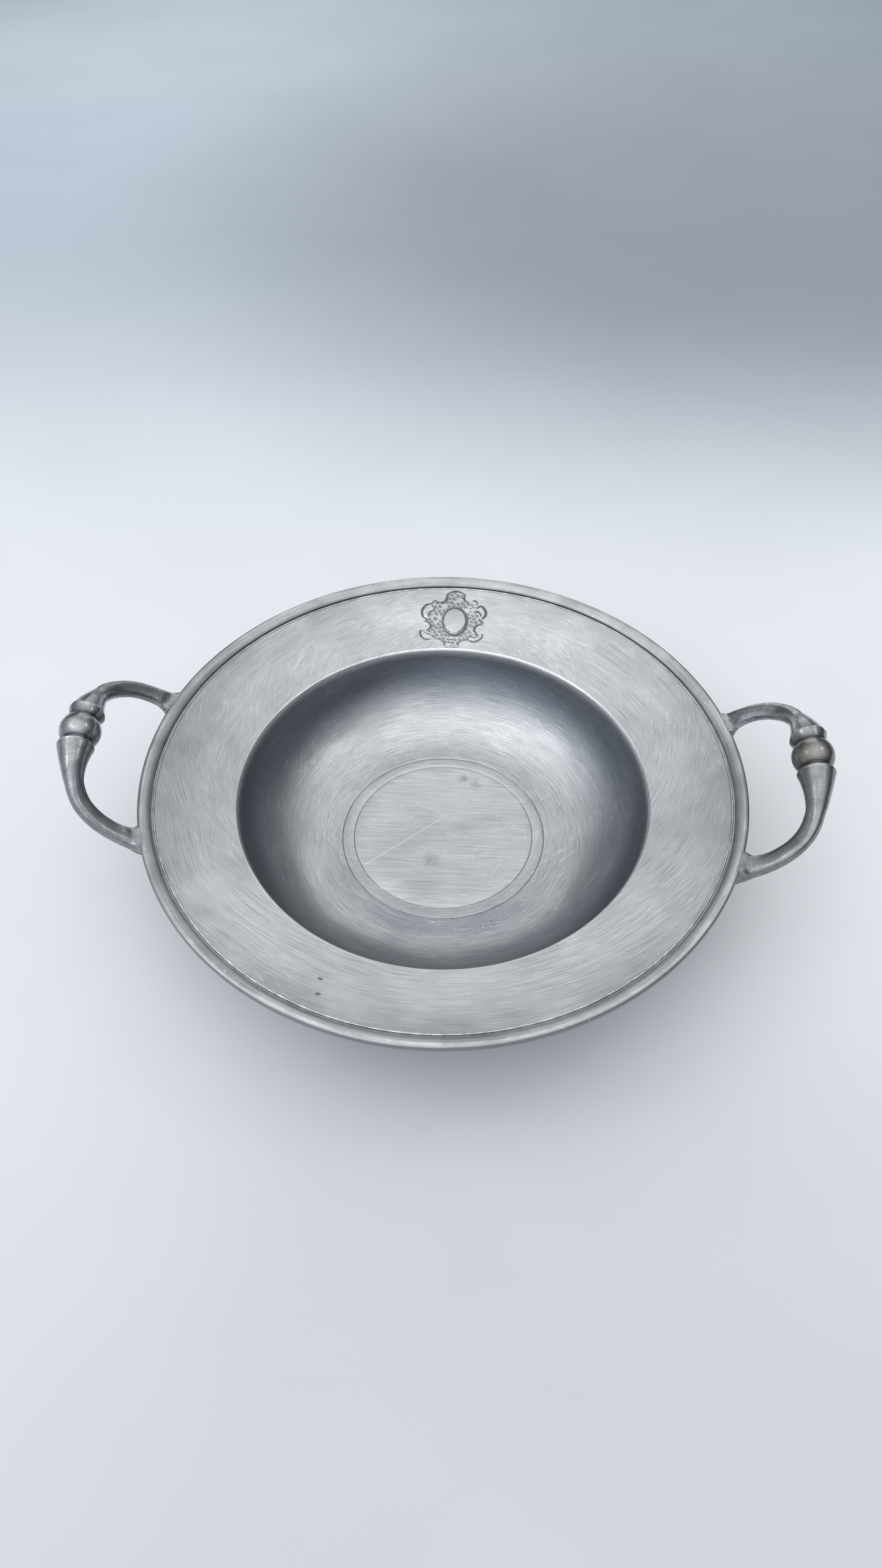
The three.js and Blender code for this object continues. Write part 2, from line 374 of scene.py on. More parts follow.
@dataclass(frozen=True)
class Turned:
    """Streaks of noise that run in rings round an upright axis."""

    length: float  # of a streak at a radius of 100 mm, in millimetres
    width: float  # of a streak in millimetres
    axis: Point = (0.0, 0.0)

    def noise(self, sheet: Sheet, detail: float, roughness: float) -> Socket:
        """Adds the nodes and returns the noise.

        Args:
            sheet: The tree to add them to.
            detail: How many finer layers the noise has.
            roughness: How strong they are.

        Returns:
            A value round 0.5.
        """
        place = sheet.add("TexCoord", (), "Object")
        moved = sheet.add("VectorMath SUBTRACT", (place, (self.axis[0] * MM, self.axis[1] * MM, 0)))
        flat = sheet.add("VectorMath MULTIPLY", (moved, (1, 1, 0)))
        radius = sheet.add("VectorMath LENGTH", (flat,), "Value")
        around = sheet.add("VectorMath NORMALIZE", (flat,))
        turns = 100 / self.length
        around = sheet.add("VectorMath MULTIPLY", (around, (turns, turns, 0)))
        height = sheet.add("SeparateXYZ", (moved,), "Z")
        along = sheet.add("Math ADD", (radius, height))
        along = sheet.add("Math MULTIPLY", (along, 1 / (self.width * MM)))
        upright = sheet.add("CombineXYZ", {2: along})
        cells = sheet.add("VectorMath ADD", (around, upright))
        streaks = {"Vector": cells, "Scale": 1, "Detail": detail, "Roughness": roughness}
        return sheet.add("TexNoise", streaks)


@dataclass(frozen=True)
class Scratches:
    """Fine light scratches left by rubbing, as thin level lines of a stretched noise."""

    run: Turned
    fineness: float  # width of a line, as a share of the noise's range
    share: float  # how much of the surface has them, 0 to 1

    def socket(self, sheet: Sheet) -> Socket:
        """Adds the nodes of the scratches.

        Args:
            sheet: The tree to add them to.

        Returns:
            A mask that is 1 on a scratch.
        """
        away = sheet.add("Math SUBTRACT", (self.run.noise(sheet, 1, 0.5), 0.5))
        line = sheet.add("MapRange", (sheet.add("Math ABSOLUTE", (away,)), 0, self.fineness, 1, 0))
        where = sheet.add("TexCoord", (), "Object")
        patches = sheet.add("TexNoise", {"Vector": where, "Size": 22.2, "Detail": 3})
        wider = 0.3 * self.share
        patches = sheet.add("MapRange", (patches, 0.62 - wider, 0.72 - wider))
        return joined(sheet, "MULTIPLY", line, patches)


@dataclass(frozen=True)
class Smudge:
    """A dull spot on the metal, ragged at its edge."""

    middle: Triple
    radius: float
    strength: float

    def socket(self, sheet: Sheet, place: Socket) -> Socket:
        """Adds the nodes of the spot.

        Args:
            sheet: The tree to add them to.
            place: Object coordinates.

        Returns:
            A mask that fades from the spot's middle.
        """
        away = sheet.add("VectorMath DISTANCE", (place, Vector(self.middle) * MM), "Value")
        inner = sheet.add("MapRange", (away, 0, self.radius * MM, 1, 0))
        ragged = sheet.add("TexNoise", {"Vector": place, "Size": 2.381, "Detail": 4, "Roughness": 0.7})
        ragged = joined(sheet, "MULTIPLY", ragged, inner)
        return sheet.add("MapRange", (ragged, 0.22, 0.50, 0, self.strength))


@dataclass(frozen=True)
class Cut:
    """One straight scratch, between two places on the surface."""

    start: Triple
    end: Triple
    width: float

    def socket(self, sheet: Sheet, place: Socket) -> Socket:
        """Adds the nodes of the scratch.

        Args:
            sheet: The tree to add them to.
            place: Object coordinates.

        Returns:
            A mask that is 1 along the scratch.
        """
        start = Vector(self.start) * MM
        run = Vector(self.end) * MM - start
        from_start = sheet.add("VectorMath SUBTRACT", (place, start))
        along = sheet.add("VectorMath DOT_PRODUCT", (from_start, run.normalized()), "Value")
        along = sheet.add("Clamp", (along, 0, run.length))
        nearest = sheet.add("VectorMath SCALE", {0: run.normalized(), 3: along})
        away = sheet.add("VectorMath DISTANCE", (from_start, nearest), "Value")
        return sheet.add("MapRange", (away, self.width * MM / 2, self.width * MM, 1, 0))


@dataclass(frozen=True)
class Finish:
    """What the metal finishes share.

    Turning and rubbing leave streaks finer than 0.4 mm, which wouldn't show, so they are
    drawn about as wide as that.
    """

    name: str = "metal"
    roughness: float = 0.3

    def material(self) -> bpy.types.Material:
        """Returns a new material with this finish."""
        material = bpy.data.materials.new(self.name)
        sheet = Sheet(material)
        self.draw(sheet, sheet.add("TexCoord", (), "Object"))
        return material

    def draw(self, sheet: Sheet, place: Socket) -> None:
        """Adds all the nodes of the finish.

        Args:
            sheet: The tree to add them to.
            place: Object coordinates.
        """
        raise NotImplementedError

    def close(self, sheet: Sheet, base: Socket, rough: Socket, height: Socket, bump: Point) -> None:
        """Adds the bump, the metal and the output.

        Args:
            sheet: The tree to add them to.
            base: The metal's colour.
            rough: Its roughness.
            height: The height of its surface, 0 to 1.
            bump: How strong the bump is, and how deep in millimetres.
        """
        strength, depth = bump
        relief = {"Strength": strength, "Distance": depth * MM, "Height": height}
        normal = sheet.add("Bump", relief, "Normal")
        metal = {"Base Color": base, "Metallic": 1.0, "Roughness": rough, "Normal": normal}
        sheet.add("OutputMaterial", {"Surface": sheet.add("BsdfPrincipled", metal)})


@dataclass(frozen=True)
class TurnedPewter(Finish):
    """Pewter turned on a lathe and rubbed by hand for years.

    Tin with a little antimony and copper gives a soft grey satin, neither blue nor
    mirror bright. The turning leaves fine rings, the flat bottom was rubbed straight
    across, cloths and cutlery leave thin light arcs, and tarnish stays in the grooves.
    Painted shade darkens the outer groove, the well's wall, its near half and the brim
    toward the rim, and a painted highlight runs round the well's lip.
    """

    name: str = "turned_pewter"
    roughness: float = 0.30
    light: str = "#CFD0D0"
    dark: str = "#94969A"
    # The next two colours are painted shade: toward the rim, and up the well's wall and over its near
    # half.
    edge: str = "#84878C"
    painted_shade_colour: str = "#59606B"
    tarnish: str = "#4B4C50"
    # The scratch colour also paints the highlight round the well's lip.
    scratch: str = "#E6E6E6"
    rings: Turned = Turned(20, 0.45)
    arcs: Turned = Turned(10, 0.42, (5, 66))
    rubbed_at: float = -8.0  # degrees, the direction of rubbing on the bottom
    # Inner radius, outer radius and fade of the bowl's parts in millimetres
    bottom: Triple = (-1, 50, 5)
    well: Triple = (-1, 103.4, 0.7)
    # lip is where the painted highlight round the well's lip goes.
    lip: Triple = (103.75, 105.15, 0.25)
    brim: Triple = (104, 160, 2)
    bead: Triple = (141.95, 142.95, 0.15)
    # Where the painted shade over the well's near half is centred, and how far it reaches
    painted_shade_middle: Triple = (15.0, -60.0, 0.0)
    painted_shade_radius: float = 120.0
    scratches: tuple[Scratches, ...] = (
        Scratches(Turned(70, 2.2, (90, -40)), 0.006, 0.30),
        Scratches(Turned(60, 2.0, (-120, 60)), 0.006, 0.25),
        Scratches(Turned(60, 1.9, (5, 66)), 0.008, 0.75),
        Scratches(Turned(110, 2.2), 0.006, 0.55),
    )
    cuts: tuple[Cut, ...] = (
        Cut((-39.5, -22.5, 6.6), (-2.3, 9.4, 6.6), 0.22),
        Cut((34.7, 57.8, 6.6), (41.0, 53.5, 6.6), 0.25),
        Cut((41.0, 53.5, 6.6), (43.8, 47.1, 6.6), 0.25),
        Cut((55.1, 71.3, 9.0), (55.0, 60.3, 7.0), 0.3),
    )
    smudges: tuple[Smudge, ...] = (
        Smudge((-5.5, -17.5, 6.6), 10.0, 0.32),
        Smudge((9.0, 39.5, 6.6), 6.0, 0.38),
        Smudge((16.0, 35.5, 6.6), 8.0, 0.34),
        # The last two are painted shade for two small dents in the near-left brim, not modelled.
        Smudge((-47.0, -115.3, 50.5), 2.8, 0.9),
        Smudge((-46.8, -124.5, 53.7), 2.6, 0.9),
    )

    def streaks(self, sheet: Sheet, place: Socket, radius: Socket, on_bottom: Socket) -> Socket:
        """Adds the rings of turning, wiped over in arcs on the brim and rubbed straight below.

        Args:
            sheet: The tree to add them to.
            place: Object coordinates.
            radius: The radius in metres.
            on_bottom: A mask of the flat bottom.

        Returns:
            A value round 0.5.
        """
        rings = self.rings.noise(sheet, 4, 0.65)
        arcs = self.arcs.noise(sheet, 4, 0.65)
        wiped = sheet.add("TexNoise", {"Vector": place, "Size": 62.5, "Detail": 3})
        wiped = sheet.add("MapRange", (wiped, 0.40, 0.58))
        wiped = joined(sheet, "MULTIPLY", wiped, radius_band(sheet, radius, *self.brim))
        rings = sheet.add("Mix FLOAT", {0: wiped, 2: rings, 3: arcs})
        angle = (0, 0, math.radians(self.rubbed_at))
        across = sheet.add("Mapping", {0: place, 2: angle, "Size": (18.18, 0.6667, 18.18)})
        rubbed = sheet.add("TexNoise", {"Vector": across, "Scale": 1, "Detail": 5, "Roughness": 0.62})
        return sheet.add("Mix FLOAT", {0: on_bottom, 2: rings, 3: rubbed})

    def draw(self, sheet: Sheet, place: Socket) -> None:
        """Adds the nodes, which also read the mark tarnish, with its painted shade.

        Args:
            sheet: The tree to add them to.
            place: Object coordinates.
        """
        level, radius = distance_from_axis(sheet, place)
        height = sheet.add("SeparateXYZ", (place,), "Z")
        low = sheet.add("MapRange", (height, 7.2 * MM, 8.5 * MM, 1, 0))
        on_bottom = joined(sheet, "MULTIPLY", radius_band(sheet, radius, *self.bottom), low)
        streaks = self.streaks(sheet, place, radius, on_bottom)
        streaked = sheet.add("MapRange", (streaks, 0.35, 0.65))
        swirls = joined(sheet, "MAXIMUM", *(arc.socket(sheet) for arc in self.scratches))

        # Clouded tone, then painted shade darker up the wall, over the well's near half and toward the
        # rim
        clouds = sheet.add("TexNoise", {"Vector": place, "Size": 33.3, "Detail": 6, "Roughness": 0.62})
        clouds = sheet.add("MapRange", (clouds, 0.34, 0.66))
        tone = sheet.add("Math MULTIPLY", (clouds, 0.32))
        tone = sheet.add("Math MULTIPLY_ADD", (streaked, 0.68, tone))
        bared = sheet.add("Math MULTIPLY", (on_bottom, 0.24))
        in_well = radius_band(sheet, radius, *self.well)
        steep = sheet.add("MapRange SMOOTHSTEP", (height, 9 * MM, 34 * MM))
        steep = joined(sheet, "MULTIPLY", steep, in_well, 0.75)
        painted_shade = sheet.add("VectorMath DISTANCE", (level, Vector(self.painted_shade_middle) * MM), "Value")
        painted_shade = sheet.add("MapRange SMOOTHSTEP", (painted_shade, 0, self.painted_shade_radius * MM, 0.42, 0))
        beside = sheet.add("MapRange", (on_bottom, 0, 1, 1, 0.55))
        painted_shade = joined(sheet, "MULTIPLY", painted_shade, in_well, beside)
        outward = sheet.add("MapRange", (radius, 124 * MM, 141.5 * MM, 0, 0.75))
        uneven = sheet.add("MapRange", (clouds, 0, 1, 0.75, 0.30))
        outward = joined(sheet, "MULTIPLY", outward, uneven)

        # Tarnish where the marks and the smudges are, with the painted shade that some of them carry
        spots = [spot.socket(sheet, place) for spot in self.smudges]
        tarnish = joined(sheet, "MAXIMUM", sheet.add("Attribute tarnish", (), "Fac"), *spots)

        # A painted highlight round the well's lip, the bead's dings rubbed bright, and the scratches
        lip = joined(sheet, "MULTIPLY", radius_band(sheet, radius, *self.lip), streaked)
        chips = sheet.add("TexNoise", {"Vector": place, "Size": 4.35, "Detail": 4, "Roughness": 0.6})
        chips = sheet.add("MapRange", (chips, 0.42, 0.68, 0.10, 0.75))
        on_bead = joined(sheet, "MULTIPLY", radius_band(sheet, radius, *self.bead), chips)
        lip = joined(sheet, "MAXIMUM", lip, on_bead)
        pale = joined(sheet, "MULTIPLY", swirls, sheet.add("MapRange", (steep, 0, 0.8, 0.52, 0.22)))
        cuts = joined(sheet, "MAXIMUM", *(cut.socket(sheet, place) for cut in self.cuts))
        pale = joined(sheet, "MAXIMUM", pale, lip, joined(sheet, "MULTIPLY", cuts, 0.8))

        base = coats(
            sheet,
            linear(self.dark),
            (tone, self.light),
            (bared, self.scratch),
            (painted_shade, self.painted_shade_colour),
            (steep, self.painted_shade_colour),
            (outward, self.edge),
            (tarnish, self.tarnish),
            (pale, self.scratch),
        )
        rough = sheet.add("MapRange", (streaks, 0.3, 0.7, self.roughness + 0.06, self.roughness - 0.05))
        rough = sheet.add("Math MULTIPLY_ADD", (tarnish, 0.25, rough))
        rough = sheet.add("Math MULTIPLY_ADD", (lip, -0.10, rough))
        relief = sheet.add("Math MULTIPLY_ADD", (swirls, -0.5, streaks))
        self.close(sheet, base, rough, relief, (0.35, 0.06))


@dataclass(frozen=True)
class MouldingPewter(Finish):
    """The rim moulding's pewter, a little warmer and greyer than the brim.

    Hands lift the bowl here, so the crest is rubbed bright, with small light dings, and
    its band also has a painted highlight. The side is darkened with painted shade.
    """

    name: str = "moulding_pewter"
    roughness: float = 0.34
    light: str = "#BBBCBC"
    dark: str = "#8F9092"
    # side is painted shade on the outer side; crest is rubbed metal and a painted highlight.
    side: str = "#85868A"
    crest: str = "#D8D8D6"
    ding: str = "#F2F2F0"
    rings: Turned = Turned(30, 0.8)
    shaded_side_band: Triple = (149.4, 152, 0.35)
    crest_band: Triple = (147.5, 148.5, 0.35)

    def draw(self, sheet: Sheet, place: Socket) -> None:
        """Adds the nodes.

        Args:
            sheet: The tree to add them to.
            place: Object coordinates.
        """
        _, radius = distance_from_axis(sheet, place)
        rings = self.rings.noise(sheet, 5, 0.6)
        patches = sheet.add("TexNoise", {"Vector": place, "Size": 16.7, "Detail": 4, "Roughness": 0.6})
        tone = sheet.add("Math MULTIPLY", (rings, 0.55))
        tone = sheet.add("Math MULTIPLY_ADD", (patches, 0.45, tone))
        tone = sheet.add("MapRange", (tone, 0.36, 0.62))
        # Painted shade on the outer side, and the crest rubbed bright with a painted highlight
        painted_side_shade = joined(sheet, "MULTIPLY", radius_band(sheet, radius, *self.shaded_side_band), 0.7)
        worn = sheet.add("MapRange", (patches, 0.42, 0.62, 0.05, 0.60))
        crest_wear_and_highlight = joined(sheet, "MULTIPLY", radius_band(sheet, radius, *self.crest_band), worn)
        dings = sheet.add("TexNoise", {"Vector": place, "Size": 1.429, "Detail": 3, "Roughness": 0.6})
        dings = sheet.add("MapRange", (dings, 0.68, 0.74, 0, 0.7))
        layers = (tone, self.light), (painted_side_shade, self.side), (crest_wear_and_highlight, self.crest), (dings, self.ding)
        base = coats(sheet, linear(self.dark), *layers)
        rough = sheet.add("MapRange", (rings, 0.3, 0.7, self.roughness + 0.08, self.roughness - 0.04))
        self.close(sheet, base, rough, tone, (0.4, 0.08))


@dataclass(frozen=True)
class CastPewter(Finish):
    """Pewter cast in a mould, scraped lengthwise and polished by hands, as on the handles.

    The casting skin tarnishes dark and bluish, with fine scraper lines along the arms.
    What fingers rub comes up bright: the ball, the lips of the collars and small nicks.
    """

    name: str = "cast_pewter"
    roughness: float = 0.21
    skin: str = "#9A9C9F"
    deep: str = "#737679"
    bright: str = "#D2D4D6"
    nick: str = "#F2F2F2"
    stain: str = "#6E6858"
    tarnish: str = "#3E3F42"

    def draw(self, sheet: Sheet, place: Socket) -> None:
        """Adds the nodes, which also read the casting's own marks and its grain.

        Args:
            sheet: The tree to add them to.
            place: Object coordinates.
        """
        marks = ("rubbed", "tarnish", "stain", "scraped")
        rubbed, tarnish, stain, scraped = (sheet.add(f"Attribute {name}", (), "Fac") for name in marks)
        grain = sheet.add("Attribute grain", (), "Vector")
        clouds = sheet.add("TexNoise", {"Vector": place, "Size": 7.69, "Detail": 5, "Roughness": 0.65})
        pits = sheet.add("TexNoise", {"Vector": place, "Size": 0.909, "Detail": 3, "Roughness": 0.6})
        lines = sheet.add("TexNoise", {"Vector": grain, "Scale": 1, "Detail": 3, "Roughness": 0.6})
        lines = sheet.add("Mix FLOAT", {0: scraped, 2: 0.5, 3: lines})
        mottle = sheet.add("Math MULTIPLY", (pits, 0.25))
        mottle = sheet.add("Math MULTIPLY_ADD", (clouds, 0.45, mottle))
        mottle = sheet.add("Math MULTIPLY_ADD", (lines, 0.30, mottle))
        tone = sheet.add("MapRange", (mottle, 0.38, 0.62))
        uneven = sheet.add("MapRange", (mottle, 0.44, 0.58, 0.25, 1.0))
        # The rubbed mark also carries painted light on a far arm.
        worn = joined(sheet, "MULTIPLY", rubbed, uneven)
        nicks = sheet.add("TexNoise", {"Vector": place, "Size": 1.613, "Detail": 2, "Roughness": 0.5})
        nicks = joined(sheet, "MULTIPLY", sheet.add("MapRange", (nicks, 0.66, 0.70)), rubbed)
        base = coats(
            sheet,
            linear(self.deep),
            (tone, self.skin),
            (stain, self.stain),
            (worn, self.bright),
            (tarnish, self.tarnish),
            (nicks, self.nick),
        )
        rough = sheet.add("MapRange", (mottle, 0.38, 0.62, self.roughness + 0.12, self.roughness - 0.03))
        height = sheet.add("Math MULTIPLY_ADD", (nicks, -0.3, mottle))
        self.close(sheet, base, rough, height, (0.3, 0.08))


@dataclass(frozen=True)
class FiledSolder(Finish):
    """Tin solder, filed back and left dull, with pits and file marks."""

    name: str = "filed_solder"
    roughness: float = 0.46
    light: str = "#A9A9A4"
    dark: str = "#6F6F6C"

    def draw(self, sheet: Sheet, place: Socket) -> None:
        """Adds the nodes.

        Args:
            sheet: The tree to add them to.
            place: Object coordinates.
        """
        lumps = sheet.add("TexNoise", {"Vector": place, "Size": 2.381, "Detail": 4, "Roughness": 0.65})
        filed = sheet.add("Mapping", {0: place, 2: (0, 0.6, 0.5), "Size": (3.333, 0.3846, 3.333)})
        filed = sheet.add("TexNoise", {"Vector": filed, "Scale": 1, "Detail": 2})
        tone = sheet.add("Math MULTIPLY", (filed, 0.4))
        tone = sheet.add("Math MULTIPLY_ADD", (lumps, 0.6, tone))
        pale = sheet.add("MapRange", (tone, 0.40, 0.60))
        base = coats(sheet, linear(self.dark), (pale, self.light))
        rough = sheet.add("MapRange", (lumps, 0.35, 0.65, self.roughness - 0.08, self.roughness + 0.10))
        self.close(sheet, base, rough, tone, (0.5, 0.15))


def dress(piece: bpy.types.Object, material: bpy.types.Material) -> None:
    """Gives a piece one material all over.

    Args:
        piece: The mesh object.
        material: Its finish.
    """
    piece.data.materials.clear()
    piece.data.materials.append(material)


# The bowl


@dataclass(frozen=True)
class Stroke:
    """One line of the chased ornament, cut with a punch or raised beside it.

    Places are in millimetres from the middle of the oval: to the right along the brim,
    and outward from the bowl's axis.
    """

    through: tuple[Point, ...]
    width: float
    depth: float = 0.45
    lens: bool = True  # whether it thins toward both ends
    shade: float = 1.0

    def path(self) -> np.ndarray:
        """Draws a smooth run through the given places.

        Returns:
            One row for each place on it.
        """
        given = np.array(self.through)
        ends = np.vstack([2 * given[0] - given[1], given, 2 * given[-1] - given[-2]])
        places = []
        for a, b, c, d in zip(ends, ends[1:], ends[2:], ends[3:]):
            for t in np.arange(0, 1, 1 / 8):
                square = (2 * a - 5 * b + 4 * c - d) * t**2
                cube = (3 * b - a - 3 * c + d) * t**3
                places.append(0.5 * (2 * b + (c - a) * t + square + cube))
        places.append(given[-1])
        return np.array(places)

    def cover(self, places: np.ndarray) -> np.ndarray:
        """Tells how deep in the stroke each place is.

        Args:
            places: Rows of places in the ornament's own millimetres.

        Returns:
            1 on the stroke's middle line, falling to 0 at its edges.
        """
        path = self.path()
        starts, runs = path[:-1], np.diff(path, axis=0)
        lengths = (runs**2).sum(1)
        from_start = places[:, None, :] - starts[None]
        share = np.clip((from_start * runs).sum(2) / lengths, 0, 1)
        away = np.linalg.norm(from_start - share[..., None] * runs, axis=2)
        nearest = away.argmin(axis=1)
        rows = np.arange(len(places))
        along = (nearest + share[rows, nearest]) / len(runs)
        swell = np.sqrt(np.sin(math.pi * np.clip(along, 0.02, 0.98))) if self.lens else 1.0
        half = np.maximum(self.width / 2 * swell, 0.12)
        return np.clip(1 - (away[rows, nearest] / half) ** 2, 0, 1)


def inside(places: np.ndarray, border: Sequence[Point]) -> np.ndarray:
    """Tells which places lie inside a closed border.

    Args:
        places: Rows of two coordinates.
        border: The border's corners in order.

    Returns:
        True for each place inside.
    """
    odd = np.zeros(len(places), bool)
    x, y = places[:, 0], places[:, 1]
    for (x0, y0), (x1, y1) in zip(border, (*border[1:], border[0])):
        crosses = (y0 > y) != (y1 > y)
        odd ^= crosses & (x < (x1 - x0) * (y - y0) / ((y1 - y0) or 1e-9) + x0)
    return odd


@dataclass
class Cartouche:
    """The chased ornament on the far brim: scrolls round a pebbled field and a bare oval."""

    radius: float = 122.65  # of the oval's middle
    half_width: float = 21.5
    outer: float = 18.9
    inner: float = -17.2
    oval_width: float = 14.0
    oval_length: float = 16.5
    oval_height: float = 0.7
    pebble_spacing: float = 2.6
    pebble_depth: float = 0.45
    field_depth: float = 0.10
    strokes: tuple[Stroke, ...] = (
        Stroke(((-4.2, 16.8), (0.1, 18.4), (4.9, 16.8)), 0.94),
        Stroke(((-4.6, 16.5), (-4.5, 14.8), (-5.4, 12.3), (-7.6, 11.6)), 1.56),
        Stroke(((-7.0, 11.7), (-8.4, 11.6), (-9.7, 12.1)), 0.62),
        Stroke(((4.9, 16.8), (4.4, 15.1), (4.9, 13.3), (6.9, 11.9)), 1.44),
        Stroke(((-9.4, 11.9), (-10.9, 12.7), (-12.8, 10.9)), 0.94),
        Stroke(
            ((-12.4, 11.0), (-15.3, 10.5), (-17.7, 8.3), (-18.4, 5.8), (-17.7, 2.9), (-14.9, 1.1)), 1.44
        ),
        Stroke(((-13.1, 10.7), (-11.8, 9.3), (-11.8, 7.2)), 1.12, 0.3, shade=0.7),
        Stroke(((-12.4, 6.8), (-14.2, 5.7), (-14.9, 3.1)), 1.19),
        Stroke(((-17.6, 0.2), (-15.9, 1.0), (-14.2, 1.4)), 0.75),
        Stroke(((-17.4, 0.2), (-15.5, -0.2), (-14.1, -1.9), (-14.2, -3.6), (-16.9, -6.1)), 1.38),
        Stroke(
            ((-18.6, -5.3), (-20.5, -5.7), (-20.7, -7.4), (-19.9, -9.6), (-17.8, -11.1), (-14.0, -11.4)),
            1.19,
        ),
        Stroke(((-18.6, -5.9), (-16.8, -7.5), (-14.3, -8.1), (-11.6, -9.5)), 0.69),
        Stroke(((-13.2, -8.9), (-12.4, -9.8), (-11.4, -10.4)), 1.88, 0.25, shade=0.6),
        Stroke(((-11.8, -11.1), (-9.3, -11.5), (-7.3, -12.5), (-6.1, -14.0), (-6.0, -16.2)), 0.75),
        Stroke(((-5.6, -16.9), (-1.3, -17.2), (3.2, -16.8)), 0.56),
        Stroke(((3.4, -16.3), (3.1, -14.0), (4.6, -12.5), (7.0, -12.0), (9.2, -12.3)), 0.75),
        Stroke(
            ((8.5, -10.1), (9.9, -11.5), (12.5, -12.2), (15.4, -11.2), (17.6, -8.7), (17.3, -6.3)), 1.06
        ),
        Stroke(((8.7, -10.1), (10.2, -9.1), (13.2, -9.2), (15.7, -7.6)), 0.69),
        Stroke(((17.1, -0.8), (14.3, -1.0), (12.5, -2.6), (12.3, -4.9), (14.4, -7.0)), 1.44),
        Stroke(((14.2, 2.0), (15.8, 1.2), (17.1, 0.1)), 0.88),
        Stroke(((11.9, 8.6), (13.6, 10.4), (15.9, 9.4), (17.3, 6.7), (16.9, 4.1), (15.3, 2.1)), 1.44),
        Stroke(((11.6, 7.4), (13.5, 6.7), (15.0, 4.2)), 1.06),
        Stroke(((9.1, 12.9), (10.5, 13.3), (12.3, 11.6)), 1.06),
    )
    raised: tuple[Stroke, ...] = (
        Stroke(((-13.0, 9.0), (-16.0, 7.5), (-16.4, 5.0), (-15.8, 2.6)), 1.9, -0.30, shade=0),
        Stroke(((-18.6, -7.0), (-16.6, -9.0), (-13.4, -10.0)), 1.7, -0.28, shade=0),
        Stroke(((13.2, 9.2), (15.0, 7.8), (15.8, 5.4), (15.4, 3.0)), 1.6, -0.30, shade=0),
        Stroke(((10.0, -10.3), (12.6, -10.8), (15.6, -9.4)), 1.5, -0.26, shade=0),
        Stroke(((-5.7, -16.4), (-1.3, -16.6), (3.3, -16.3)), 0.7, -0.22, lens=False, shade=0),
    )
    border: tuple[Point, ...] = (
        (-4.2, 16.8), (0.0, 18.2), (4.9, 16.8), (4.3, 15.1), (4.9, 13.3), (6.9, 12.0), (9.3, 12.4),
        (11.9, 11.2), (12.0, 8.8), (11.8, 7.4), (13.5, 6.7), (14.9, 4.4), (14.4, 1.9), (16.4, 0.2),
        (16.2, -0.8), (14.3, -1.0), (12.5, -2.6), (12.3, -4.9), (14.1, -6.7), (15.3, -7.8),
        (13.2, -9.2), (10.2, -9.1), (8.7, -10.1), (8.8, -12.1), (7.0, -12.0), (4.6, -12.5),
        (3.1, -14.0), (3.3, -16.0), (-1.3, -16.3), (-5.9, -16.0), (-6.1, -14.0), (-7.4, -12.4),
        (-9.3, -11.5), (-11.6, -11.0), (-11.8, -9.4), (-14.3, -8.1), (-16.2, -6.9), (-15.0, -5.2),
        (-14.1, -3.4), (-14.2, -1.8), (-15.5, -0.1), (-14.5, 1.4), (-14.8, 3.3), (-14.2, 5.7),
        (-12.6, 6.9), (-11.2, 7.4), (-11.0, 9.6), (-10.4, 11.6), (-7.8, 11.7), (-5.4, 12.3),
        (-4.5, 14.8),
    )  # fmt: skip

    def pebbles(self) -> np.ndarray:
        """Spreads the middles of the punch marks over the field, unevenly as by hand.

        Returns:
            One row for each mark.
        """
        random = np.random.default_rng(12)
        row = self.pebble_spacing * math.sqrt(3) / 2
        marks = []
        for j in range(-9, 10):
            for i in range(-10, 11):
                shift = self.pebble_spacing * (i + 0.5 * (j % 2))
                marks.append((shift, j * row))
        spread = np.array(marks) + random.uniform(-0.75, 0.75, (len(marks), 2))
        return spread[random.uniform(size=len(spread)) > 0.06]

    def relief(self, places: np.ndarray) -> tuple[np.ndarray, np.ndarray]:
        """Works out the ornament's heights and its tarnish, with painted shade on the oval boss.

        Args:
            places: Rows of places in the ornament's own millimetres.

        Returns:
            The height above the brim in millimetres, and its tarnish, with the boss's painted shade.
        """
        height = np.zeros(len(places))
        shade = np.zeros(len(places))
        marks = self.pebbles()
        away = np.linalg.norm(places[:, None, :] - marks[None], axis=2)
        away.sort(axis=1)
        between = ramp(away[:, 1] - away[:, 0], 0.30, 1.10)
        round_about = ramp(away[:, 0], 1.45, 0.85)
        pit = eased(between * round_about)
        in_field = inside(places, self.border)
        height = np.where(in_field, -self.field_depth - self.pebble_depth * pit, height)
        shade = np.where(in_field, 0.06 + 0.48 * pit, shade)
        for stroke in (*self.raised, *self.strokes):
            cover = stroke.cover(places)
            rounded = cover if stroke.depth < 0 else cover**0.7
            height = np.where(cover > 0, height * (1 - cover) - stroke.depth * rounded, height)
            shade = np.where(cover > 0, shade * (1 - cover) + stroke.shade * cover, shade)
        across = places[:, 0] / (self.oval_width / 2)
        out = places[:, 1] / (self.oval_length / 2)
        oval = np.hypot(across, out)
        angle = np.arctan2(out, across)
        groove_half = 0.045 + 0.035 * (1 + np.cos(angle + 0.35))
        groove = np.clip(1 - ((oval - 1.0 - groove_half * 0.6) / groove_half) ** 2, 0, 1)
        height = height * (1 - groove) - 0.5 * groove
        shade = np.maximum(shade * (1 - groove), groove)
        dome = eased(ramp(oval, 1.0, 0.84))
        crown = self.oval_height * (0.78 + 0.22 * np.clip(1 - oval**2, 0, 1))
        height = np.where(oval < 1.0, height * (1 - dome) + crown * dome, height)
        # Painted shade on the boss: darker on its outer side, lighter toward the well
        painted_shade = 0.16 + 0.16 * np.clip(out, -1, 1)
        shade = np.where(oval < 1.0, shade * (1 - dome) + painted_shade * dome, shade)
        return height, shade


